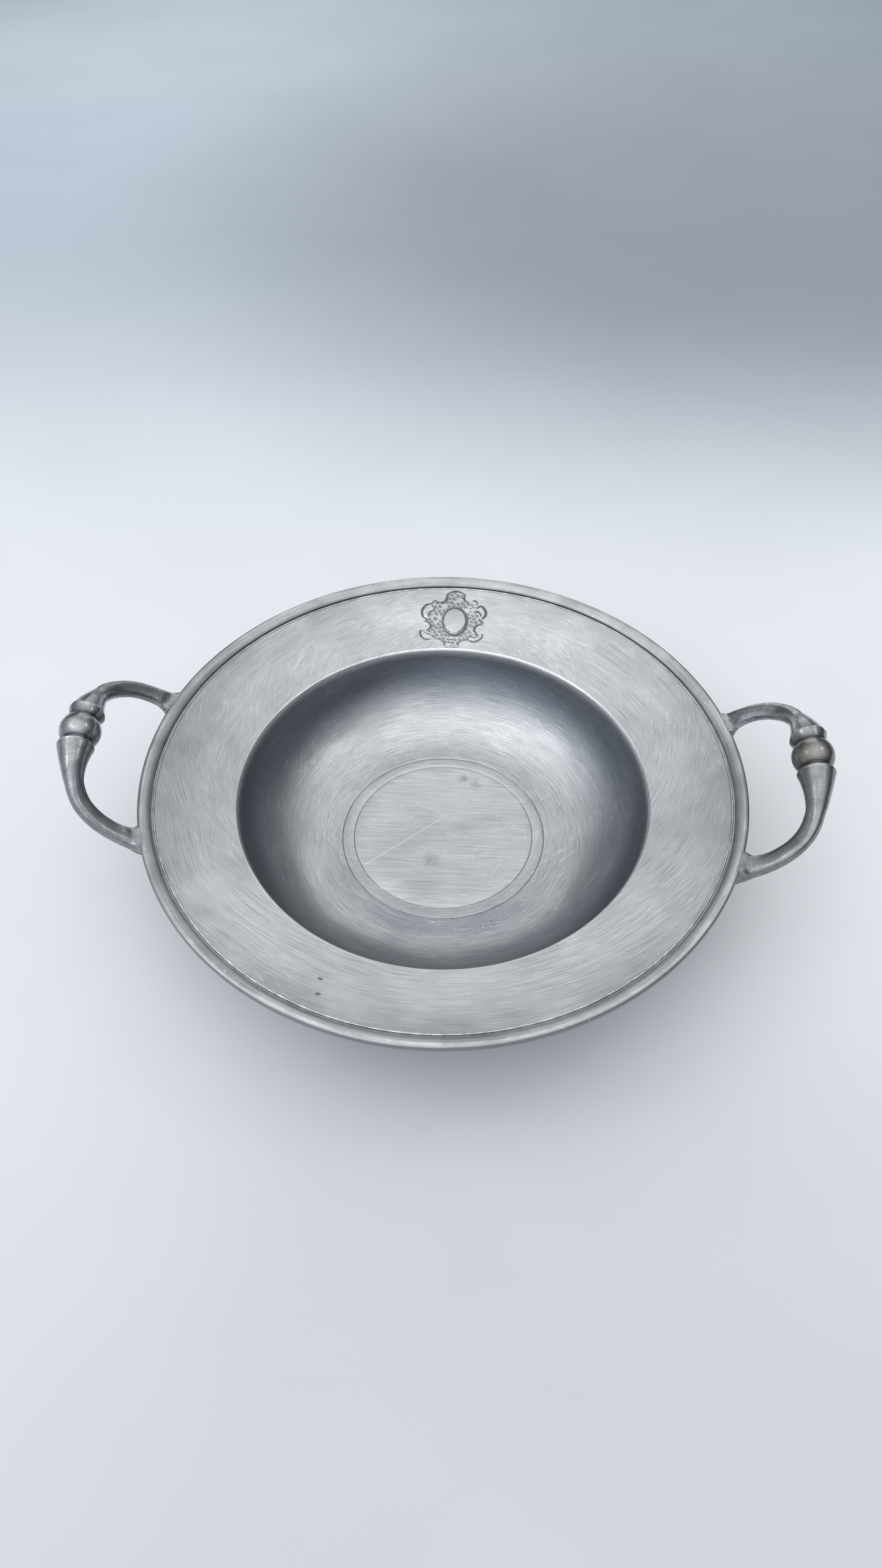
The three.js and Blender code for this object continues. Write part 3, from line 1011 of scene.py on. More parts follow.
@dataclass
class Bowl:
    """The turned bowl itself, from its flat bottom to the bead inside the rim."""

    foot_height: float = 4.2
    wall: float = 2.4
    well_radius: float = 104.2
    well_depth: float = 37.8
    well_wall_angle: float = 76.0
    well_edge_round: float = 1.3
    brim_rise: float = 13.1
    brim_hollow: float = 1.0
    brim_inner: float = 105.6  # where the rounding of the well's edge has ended
    brim_rows: int = 12
    bead_inner: float = 141.9
    bead_outer: float = 142.95
    bead_height: float = 0.5
    bead_support: float = 0.25  # width of the narrow row of faces that keeps its foot crisp
    groove_outer: float = 143.4
    groove_middle: float = 143.2
    groove_tarnish_and_shade: float = 0.60
    flange_radius: float = 146.6
    flange_thickness: float = 1.6
    scribed_radii: tuple[float, float] = (53.9, 47.7)
    scribed_width: float = 0.55
    scribed_depth: float = 0.22
    scribed_tarnish: float = 0.30
    bottom_radii: tuple[float, ...] = (38.0, 28.0, 18.0, 9.0, 3.0, 0.0)
    steps: int = 180
    patch_cuts: int = 15
    cartouche: Cartouche = field(default_factory=Cartouche)

    @property
    def floor(self) -> float:
        """Height of the flat bottom."""
        return self.foot_height + self.wall

    @property
    def well_edge(self) -> float:
        """Height of the edge between well and brim."""
        return self.floor + self.well_depth

    @property
    def brim_edge(self) -> float:
        """Height of the brim at the bead."""
        return self.well_edge + self.brim_rise

    @property
    def wall_arc(self) -> float:
        """Radius of the well's curved wall."""
        return self.well_depth / (1 - math.cos(math.radians(self.well_wall_angle)))

    @property
    def flat_radius(self) -> float:
        """Radius of the flat bottom."""
        return self.well_radius - self.wall_arc * math.sin(math.radians(self.well_wall_angle))

    def brim_height(self, radius: np.ndarray | float) -> np.ndarray | float:
        """Gives the brim's height at a radius."""
        u = (radius - self.well_radius) / (self.bead_inner - self.well_radius)
        return self.well_edge + self.brim_rise * u - 4 * self.brim_hollow * u * (1 - u)

    def wall_points(self, radius: float, steps: int) -> list[Point]:
        """Gives points up the curved wall, for an arc of the given radius."""
        angles = np.radians(np.linspace(0, self.well_wall_angle, steps + 1))
        middle = self.floor + self.wall_arc
        return [(self.flat_radius + radius * math.sin(a), middle - radius * math.cos(a)) for a in angles]

    def outline(self) -> list[Point]:
        """Gives the bowl's section.

        Returns:
            Radii and heights, from under its middle round to above it.
        """
        slope = self.brim_rise / (self.bead_inner - self.well_radius)
        drop = self.wall * math.hypot(1, slope)
        outside = self.wall_points(self.wall_arc + self.wall, 22)
        under = [
            (r, self.brim_height(r) - drop)
            for r in np.linspace(outside[-1][0] + self.wall, self.bead_inner - 1, 10)
        ]
        edge = softened(
            [
                (self.bead_inner - 1, self.brim_height(self.bead_inner - 1) - drop),
                (self.bead_inner, self.brim_height(self.bead_inner) - drop, 0.4),
                (self.flange_radius, self.brim_edge - self.flange_thickness, 0.35),
                (self.flange_radius, self.brim_edge, 0.35),
                (self.groove_outer, self.brim_edge),
                (self.bead_outer, self.brim_edge - 0.1),
            ]
        )[1:]
        bead = []
        for angle in np.radians(np.linspace(20, 160, 9)):
            out = (self.bead_outer - self.bead_inner) * (1 + math.cos(angle)) / 2
            bead.append((self.bead_inner + out, self.brim_edge + self.bead_height * math.sin(angle)))
        rows = np.linspace(self.bead_inner - self.bead_support, self.brim_inner, self.brim_rows + 1)
        radii = (self.bead_inner, *rows)
        brim = [(r, float(self.brim_height(r))) for r in radii]
        inner = self.wall_points(self.wall_arc, 32)[::-1]
        lip = softened([brim[-1], (*inner[0], self.well_edge_round), inner[1]], steps=5)[1:-1]
        scribed: list[Point] = []
        for radius in self.scribed_radii:
            half = self.scribed_width / 2
            scribed += [
                (radius + half * 1.3, self.floor),
                (radius + half * 0.6, self.floor - 0.06),
                (radius, self.floor - self.scribed_depth),
                (radius - half * 0.6, self.floor - 0.06),
                (radius - half * 1.3, self.floor),
            ]
        bottom = [(r, self.floor) for r in self.bottom_radii]
        below = [(0.0, self.foot_height), *outside, *under, *edge]
        return [*below, *bead, *brim, *lip, *inner[1:], *scribed, *bottom]

    def refine_patch(self, piece: bpy.types.Object) -> None:
        """Divides the brim finely where the ornament goes.

        Args:
            piece: The turned bowl.
        """
        half_angle = math.degrees(self.cartouche.half_width / self.cartouche.radius)
        take_up(piece)
        bpy.ops.object.mode_set(mode="EDIT")
        bpy.ops.mesh.select_mode(type="FACE")
        bpy.ops.mesh.select_all(action="DESELECT")
        mesh = bmesh.from_edit_mesh(piece.data)
        for face in mesh.faces:
            middle = face.calc_center_median() / MM
            azimuth = math.degrees(math.atan2(middle.y, middle.x))
            radius = math.hypot(middle.x, middle.y)
            on_top = face.normal.z > 0.5 and middle.z > self.well_edge - 1
            beside = abs(azimuth - 90) < half_angle + 0.6
            on_brim = self.brim_inner - 0.7 < radius < self.bead_inner - self.bead_support + 0.05
            face.select_set(on_top and beside and on_brim)
        bmesh.update_edit_mesh(piece.data)
        bpy.ops.mesh.subdivide(number_cuts=self.patch_cuts, smoothness=0)
        deselect_all()

    def chase(self, piece: bpy.types.Object) -> None:
        """Sinks and raises the ornament in the brim and marks its tarnish and painted shade.

        Args:
            piece: The bowl with its finely divided patch.
        """
        places = read_vertices(piece)
        radius = np.hypot(places[:, 0], places[:, 1])
        azimuth = np.degrees(np.arctan2(places[:, 1], places[:, 0]))
        ornament = self.cartouche
        u = np.radians(90 - azimuth) * ornament.radius
        v = radius - ornament.radius
        on_top = np.abs(places[:, 2] - self.brim_height(radius)) < 0.6
        near = on_top & (np.abs(u) < ornament.half_width) & (v < ornament.outer) & (v > ornament.inner)
        rows = np.where(near)[0]
        shade = np.zeros(len(places))
        for part in np.array_split(rows, 24):
            height, tarnish = ornament.relief(np.c_[u[part], v[part]])
            places[part, 2] = self.brim_height(radius[part]) + height
            shade[part] = tarnish
        # Old polish sits in the scribed lines and in the groove outside the bead, which is also
        # darkened with painted shade.
        level = places[:, 2]
        groove = ramp(np.abs(radius - self.groove_middle), 0.7, 0) * (level > self.brim_edge - 0.5)
        groove *= np.clip(0.55 + 0.5 * ripple(places, 6, 16), 0.15, 1)
        sunk = (level < self.floor - 0.02) & (level > self.floor - 1) & (radius < self.flat_radius)
        shade = np.maximum.reduce([shade, groove * self.groove_tarnish_and_shade, sunk * self.scribed_tarnish])
        # The bead is knocked about.
        on_bead = (radius > self.bead_inner) & (radius < self.groove_middle)
        on_bead &= level > self.brim_edge + 0.1
        places[:, 2] += on_bead * 0.10 * ripple(places, 5, 3.0)
        write_vertices(piece, places)
        # The tarnish mark also carries the painted shade of the groove and of the oval boss.
        mark(piece, "tarnish", shade)

    def build(self) -> bpy.types.Object:
        """Turns the bowl and chases its ornament.

        Returns:
            The finished mesh.
        """
        piece = turn("pewter_bowl", self.outline(), self.steps)
        self.refine_patch(piece)
        self.chase(piece)
        smooth_shading(piece, crease=50)
        return piece


@dataclass
class Rim:
    """The moulding soldered round the brim's edge."""

    radius: float = 150.0
    inner: float = 143.7
    top: float = 61.0
    bottom: float = 56.8
    seat: float = 57.8
    flange: float = 146.9
    # Radius, depth under the top and rounding of the corners from the crest inward
    slope: tuple[tuple[float, ...], ...] = (
        (149.1, 0.12, 0.4),
        (147.8, 0.0, 0.25),
        (146.7, 0.34),
        (145.7, 0.95),
        (144.9, 1.55),
        (144.25, 2.15),
        (143.8, 2.70, 0.15),
    )
    steps: int = 240

    def outline(self) -> list[Point]:
        """Gives the moulding's section.

        Returns:
            Radii and heights, anticlockwise from inside its foot.
        """
        return softened(
            [
                (self.flange, self.bottom, 0.2),
                (self.radius - 0.5, self.bottom, 0.35),
                (self.radius, self.bottom + 1.2, 0.6),
                (self.radius, self.top - 0.75, 0.45),
                *((radius, self.top - depth, *rounding) for radius, depth, *rounding in self.slope),
                (self.inner, self.seat, 0.1),
                (self.flange, self.seat, 0.1),
            ]
        )

    def build(self) -> bpy.types.Object:
        """Turns the moulding and leaves it a little uneven.

        Returns:
            The finished mesh.
        """
        piece = turn("rim_moulding_band", self.outline(), self.steps, closed=True)
        places = read_vertices(piece)
        radius = np.hypot(places[:, 0], places[:, 1])
        upper = ramp(places[:, 2], self.top - 2.4, self.top - 0.4)
        dents = ripple(places, 21, 38) * 0.07 + ripple(places, 22, 7) * 0.035
        places[:, 2] -= upper * (0.10 + dents)
        shrink = 1 - np.clip(0.03 + 0.03 * ripple(places, 23, 30), 0, 1) / radius
        places[:, :2] *= shrink[:, None]
        write_vertices(piece, places)
        smooth_shading(piece, crease=40)
        return piece


@dataclass
class Foot:
    """The low ring under the bowl and the solder in its corner."""

    height: float = 4.2
    outer: float = 53.22
    width: float = 4.4
    taper: float = 0.7
    # The solder's section, from the corner between foot and bowl
    hollow: tuple[Point, ...] = ((0.0, 0.0), (0.0, -1.3), (0.35, -0.75), (0.85, -0.35), (1.6, 0.0))
    steps: int = 144

    def ring(self) -> bpy.types.Object:
        """Turns the foot ring.

        Returns:
            The finished mesh.
        """
        top = self.height - 0.05
        outline = softened(
            [
                (self.outer - self.width + self.taper, 0.0, 0.4),
                (self.outer - self.taper, 0.0, 0.4),
                (self.outer, top, 0.15),
                (self.outer - self.width, top, 0.15),
            ]
        )
        piece = turn("foot_ring_turned", outline, self.steps, closed=True)
        smooth_shading(piece, crease=40)
        return piece

    def solder(self) -> bpy.types.Object:
        """Turns the hollow fillet of solder outside the ring.

        Returns:
            The finished mesh.
        """
        inner, top = self.outer - 0.1, self.height + 0.05
        outline = [(inner + out, top + up) for out, up in self.hollow]
        piece = turn("foot_solder", outline, self.steps, closed=True)
        smooth_shading(piece, crease=40)
        return piece


# Handles


@dataclass(frozen=True)
class Section:
    """One section of a handle's arm, and how the casting is worn there."""

    distance: float  # along the loop from the ball's middle, in millimetres
    radius: float
    rubbed: float = 0.15
    tarnish: float = 0.0
    chipped: float = 0.0

    def mirrored(self) -> Section:
        """Returns the same section on the other side of the ball."""
        return replace(self, distance=-self.distance)


@dataclass(frozen=True)
class Arm:
    """How one of a handle's arms was cast and soldered on."""

    collar: float  # its width
    taper: float  # how far the arm narrows behind the collar's lip
    raised: float  # how much higher the root sits than usual
    webbing: float  # how much the root spreads in the corner


@dataclass
class Handle:
    """One cast loop handle: two arms, a collar on each and a ball between them.

    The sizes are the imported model's, and each handle has its own twist and its own
    place for the ball, because the two were dressed and soldered on by hand.
    """

    side: Side
    arms: dict[End, Arm]
    twist: float
    azimuth: float
    ball_shift: float
    tilt: float = 38.7
    half_spread: float = 45.5
    reach: float = 41.8
    inset: float = 0.7
    exponent: float = 2.7
    ball_radius: float = 9.9
    collar_radius: float = 8.85
    collar_foot: float = 7.45
    neck_radius: float = 7.1
    neck_length: float = 0.35
    arm_radius: float = 4.4
    arm_thickness: float = 5.8
    squareness: float = 3.0
    flat_start: float = 0.26
    flat_end: float = 0.60
    root_width: float = 13.0
    root_flare: float = 4.0
    root_lean: float = 0.8
    root_lift: float = 1.9
    root_thickening: float = 1.5
    rim_radius: float = 150.0
    root_height: float = 58.5
    # Height that the upper side is filed to at the rim, and radius of the cut there
    settled: Point = (61.0, 148.4)
    solder_settled: Point = (60.6, 149.85)
    fillet: float = 1.55
    stain: float = 0.0
    polish: float = 1.0
    far_arm_painted_light: float = 0.0  # painted light that makes its far arm brighter
    arm_start: float = 14.0  # how far from the ball's middle the arms' own finish starts
    arm_blend: float = 6.0
    sides: int = 40
    samples: int = 6001

    def __post_init__(self) -> None:
        """Measures the loop's curve once."""
        angles = np.linspace(-math.pi / 2, math.pi / 2, self.samples)
        power = 2 / self.exponent
        x = self.reach * np.clip(np.cos(angles), 0, 1) ** power
        y = self.half_spread * np.sign(angles) * np.abs(np.sin(angles)) ** power
        self.curve = np.c_[x, y]
        run = np.r_[0, np.cumsum(np.linalg.norm(np.diff(self.curve, axis=0), axis=1))]
        self.half_loop = float(run[-1] / 2)
        self.distances = run - self.half_loop

    def on_loop(self, distance: float) -> np.ndarray:
        """Gives the curve's point at a distance from its middle, within its ends."""
        return np.array([np.interp(distance, self.distances, self.curve[:, k]) for k in (0, 1)])

    def at(self, distance: float) -> tuple[np.ndarray, np.ndarray]:
        """Gives the loop's point and direction at a distance from its middle.

        Args:
            distance: Millimetres along the loop. Past a root the loop runs on straight.

        Returns:
            The point and the unit direction in the loop's plane.
        """
        limit = self.half_loop
        held = float(np.clip(distance, -limit, limit))
        point = self.on_loop(held)
        if abs(distance) >= limit - 1e-6:
            direction = np.array([-math.copysign(1, distance), 0.0])
            return point + direction * (distance - held), direction
        step = 0.05
        direction = self.on_loop(held + step) - self.on_loop(held - step)
        return point, direction / np.linalg.norm(direction)

    def sign(self, end: End) -> int:
        """Gives the sign that distances along the loop have toward one root."""
        return 1 if (self.side is Side.RIGHT) == (end is End.FAR) else -1

    def half(self, arm: Arm) -> list[Section]:
        """Lists the sections from the ball's middle to past one root.

        Args:
            arm: The arm on that side.

        Returns:
            The sections in order.
        """
        ball_end = math.sqrt(self.ball_radius**2 - self.neck_radius**2)
        start = ball_end + self.neck_length
        lip = start + arm.collar
        rows: list[Section] = []
        for share in np.linspace(0, 1, 14):
            angle = math.asin(ball_end / self.ball_radius) * share
            at, radius = self.ball_radius * math.sin(angle), self.ball_radius * math.cos(angle)
            rows.append(Section(at, radius, 0.50 - 0.45 * share**4, 0.55 * share**10))
        rows.append(Section(start - 0.08, self.neck_radius + 0.1, 0.0, 0.85))
        for share in np.linspace(0, 1, 8):
            radius = self.collar_foot + (self.collar_radius - self.collar_foot) * (
                share - 0.12 * math.sin(share * math.pi)
            )
            at = start + 0.05 + share * (arm.collar - 0.30)
            tarnish = 0.5 * (1 - share) ** 3
            rows.append(Section(at, radius, 0.10 + 0.5 * share**6, tarnish, 0.4 * share**8))
        rows.append(Section(lip - 0.10, self.collar_radius + 0.04, 1.0, 0.0, 1.0))
        rows.append(Section(lip + 0.10, self.collar_radius - 0.08, 1.0, 0.0, 0.8))
        distance, step = lip + 0.5, 0.6
        narrowing = self.collar_radius - 0.15 - self.arm_radius
        while distance < self.half_loop - 3.2 * self.root_flare:
            share = min((distance - lip) / arm.taper, 1)
            radius = self.arm_radius + narrowing * (1 - share) ** 1.25
            rows.append(Section(distance, radius, 0.25 * math.exp(-(distance - lip) / 9) + 0.12))
            step = min(step * 1.12, 1.6)
            distance += step
        for share in (3.0, 2.6, 2.2, 1.9, 1.6, 1.3, 1.05, 0.85, 0.65, 0.45, 0.25, 0.1, -0.1, -0.25):
            at = self.half_loop - share * self.root_flare
            rows.append(Section(at, self.arm_radius, 0.2 + 0.35 * math.exp(-max(share, 0))))
        rows.append(Section(self.half_loop + 2 * self.root_width, self.arm_radius, 0.2))
        return rows

    def sections(self) -> list[Section]:
        """Lists all the sections, from the root that the loop comes from to the other."""
        first, last = (self.half(self.arms[end]) for end in sorted(End, key=self.sign))
        return [section.mirrored() for section in first[:0:-1]] + last

    def ring(self, distance: float, radius: float, fillet: float = 0.0) -> np.ndarray:
        """Gives one section of the arm as points in the loop's own frame.

        Args:
            distance: Millimetres along the loop from its middle.
            radius: The round part's radius.
            fillet: How much solder is added round it, 0 for the arm alone.

        Returns:
            One row for each corner of the section.
        """
        away = abs(distance)
        centre, direction = self.at(distance + self.ball_shift * max(1 - away / self.half_loop, 0))
        flat = eased(ramp(away / self.half_loop, self.flat_start, self.flat_end))
        to_root = max(self.half_loop - away, 0)
        rootward = math.exp(-to_root / self.root_flare)
        half_width = radius + (self.root_width / 2 - self.arm_radius) * rootward
        half_thick = radius + (self.arm_thickness / 2 - radius) * flat
        half_thick += self.root_thickening / 2 * rootward
        arm = self.arms[End.FAR if distance * self.sign(End.FAR) > 0 else End.NEAR]
        raised = arm.raised * math.exp(-to_root / 6)
        webbing = arm.webbing * math.exp(-to_root / 4.5)
        half_width += webbing / 2
        lean = self.root_lean * rootward + webbing / 2
        lift = self.root_lift * rootward - self.arm_thickness / 2 * flat + raised
        if raised > 0:
            half_thick += raised * 0.3
            lift -= raised * 0.3
        if fillet > 0:
            thinning = math.exp(-to_root / 2.6)
            half_width += (fillet * thinning) - 0.25
            lean += fillet * thinning
            half_thick += 0.6 * fillet * thinning - 0.2
            lift -= 0.6 * fillet * thinning + 0.05
        power = 2 / (2 + (self.squareness - 2) * flat)
        angles = 2 * math.pi * (np.arange(self.sides) + 0.5) / self.sides
        cosine, sine = np.cos(angles), np.sin(angles)
        across = lean + half_width * np.sign(cosine) * np.abs(cosine) ** power
        up = lift + half_thick * np.sign(sine) * np.abs(sine) ** power
        inward = np.array([-direction[1], direction[0]])
        flat_place = centre[None] + across[:, None] * inward[None]
        return np.c_[flat_place, up]

    def place(self, points: np.ndarray) -> np.ndarray:
        """Moves points from the loop's frame to the bowl's.

        Args:
            points: Rows in the loop's frame in millimetres.

        Returns:
            The same points in the object's frame.
        """
        x, y, z = points.T
        y, z = spun(y, z, self.twist)
        x, z = spun(x, z, self.tilt)
        x = x + math.sqrt(self.rim_radius**2 - self.half_spread**2) - self.inset
        x, y = spun(x, y, self.azimuth)
        return np.c_[x, y, z + self.root_height]

    def loft(self, name: str, rows: Sequence[Section], fillet: float = 0.0) -> bpy.types.Object:
        """Extrudes a ring of vertices from section to section.

        Args:
            name: The new piece's name.
            rows: The sections in order.
            fillet: How much solder is added round them.

        Returns:
            A closed mesh in the bowl's frame.
        """
        deselect_all()
        radius = self.arm_radius * MM
        bpy.ops.mesh.primitive_circle_add(vertices=self.sides, radius=radius, fill_type="NGON")
        piece = bpy.context.object
        piece.name = name
        piece.data.name = name
        bpy.ops.object.mode_set(mode="EDIT")
        bpy.ops.mesh.select_mode(type="VERT")
        bpy.ops.mesh.select_all(action="SELECT")
        for i, row in enumerate(rows):
            if i:
                bpy.ops.mesh.extrude_region_move()
            mesh = bmesh.from_edit_mesh(piece.data)
            chosen = [v for v in mesh.verts if v.select]
            spots = self.place(self.ring(row.distance, row.radius, fillet)) * MM
            for vertex, spot in zip(chosen, spots):
                vertex.co = spot
            bmesh.update_edit_mesh(piece.data)
        face_outwards(piece)
        return piece

    def settle(self, piece: bpy.types.Object, level: float) -> None:
        """Files the upper side of a piece flush with the rim where it meets it.

        Args:
            piece: An untrimmed loft, whose vertices lie ring by ring.
            level: The height that its upper side comes to, in millimetres.
        """
        places = read_vertices(piece)
        angle = 2 * math.pi * (np.arange(len(places)) % self.sides + 0.5) / self.sides
        upper = ramp(np.sin(angle), 0.1, 0.5)
        out = np.hypot(places[:, 0], places[:, 1]) - self.rim_radius
        places[:, 2] += (level - places[:, 2]) * upper * eased(ramp(out, 4.5, 0.5))
        write_vertices(piece, places)

    def trim(self, piece: bpy.types.Object, radius: float) -> None:
        """Cuts a piece off along the rim.

        Args:
            piece: The arms or the solder, run on through the rim.
            radius: Where the cut is in millimetres.
        """
        deselect_all()
        bpy.ops.mesh.primitive_cylinder_add(
            vertices=256, radius=radius * MM, depth=160 * MM, location=(0, 0, self.root_height * MM)
        )
        cutter = bpy.context.object
        take_up(piece)
        bpy.ops.object.modifier_add(type="BOOLEAN")
        modifier = piece.modifiers[-1]
        modifier.operation = "DIFFERENCE"
        modifier.object = cutter
        modifier.solver = "EXACT"
        bpy.ops.object.modifier_apply(modifier=modifier.name)
        bpy.data.objects.remove(cutter, do_unlink=True)

    def casting(self) -> bpy.types.Object:
        """Makes the casting, wears it and marks where it is rubbed or tarnished.

        Returns:
            The finished handle.
        """
        rows = self.sections()
        piece = self.loft(f"{self.side.value}_handle_casting", rows)
        level, cut = self.settled
        self.settle(piece, level)
        self.wear(piece, rows)
        self.trim(piece, cut)
        smooth_shading(piece, crease=42)
        return piece

    def wear(self, piece: bpy.types.Object, rows: Sequence[Section]) -> None:
        """Dents the casting a little and marks its finish, with painted light on the far arm.

        Args:
            piece: The untrimmed casting, whose vertices lie ring by ring.
            rows: Its sections in order.
        """
        places = read_vertices(piece)
        rings = places.reshape(len(rows), self.sides, 3)
        out = (rings - rings.mean(axis=1, keepdims=True)).reshape(-1, 3)
        out /= np.maximum(np.linalg.norm(out, axis=1), 1e-6)[:, None]
        distance, rubbed, tarnish, chipped = (
            np.repeat([getattr(row, name) for row in rows], self.sides)
            for name in ("distance", "rubbed", "tarnish", "chipped")
        )
        chips = np.clip(ripple(places, 31 + len(self.side.value), 2.4) - 0.1, 0, 1) * chipped * 0.45
        waves = 0.05 * ripple(places, 41, 5) + 0.04 * ripple(places, 43, 12) - 0.06
        write_vertices(piece, places + out * (waves - chips)[:, None])
        blended = self.arm_start + self.arm_blend
        # Painted light that brightens the far arm goes into the rubbed mark.
        painted_light = self.far_arm_painted_light * ramp(distance * self.sign(End.FAR), self.arm_start, blended)
        mark(piece, "rubbed", self.polish * rubbed * (0.75 + 0.5 * ripple(places, 51, 7)) + painted_light)
        mark(piece, "tarnish", tarnish)
        mark(piece, "scraped", ramp(np.abs(distance), self.arm_start, blended))
        browned = 0.30 + 0.70 * np.exp(-((distance / 9) ** 2))
        mark(piece, "stain", self.stain * browned * (0.6 + 0.5 * ripple(places, 53, 14)))
        angle = 2 * math.pi * (np.arange(len(places)) % self.sides) / self.sides
        grain = np.c_[distance / 14, 9 * np.cos(angle), 9 * np.sin(angle)]
        attribute = piece.data.attributes.new("grain", "FLOAT_VECTOR", "POINT")
        attribute.data.foreach_set("vector", grain.astype(np.float32).ravel())

    def solder(self, end: End) -> bpy.types.Object:
        """Makes the lumpy fillet of solder at one root.

        Args:
            end: The root.

        Returns:
            The finished joint.
        """
        reach = (-7.0, -5.6, -4.4, -3.4, -2.6, -1.9, -1.3, -0.7, -0.1, 0.5, 1.2, 2 * self.root_width)
        rows = [Section(self.sign(end) * (self.half_loop + d), self.arm_radius) for d in reach]
        piece = self.loft(f"{self.side.value}_{end.value}_solder", rows, self.fillet)
        level, cut = self.solder_settled
        self.settle(piece, level)
        self.trim(piece, cut)
        open_up(piece)
        bpy.ops.mesh.quads_convert_to_tris()
        deselect_all()
        places = read_vertices(piece)
        lumps = ripple(places, 61 + len(end.value), 3.2) * 0.13 + ripple(places, 71, 1.4) * 0.05
        radius = np.hypot(places[:, 0], places[:, 1])
        places[:, 2] += lumps - 0.04
        grow = 1 + lumps * 0.4 / radius
        places[:, :2] *= grow[:, None]
        write_vertices(piece, places)
        smooth_shading(piece, crease=40)
        return piece


# Setting


@dataclass(frozen=True)
class Shade:
    """A soft oval of painted shade on the paper, where it is greyer."""

    middle: Point  # in metres
    stretch: Point  # how many of its own radii go to a metre each way
    start: float  # where it starts to fade
    end: float  # where it has gone
    colour: str


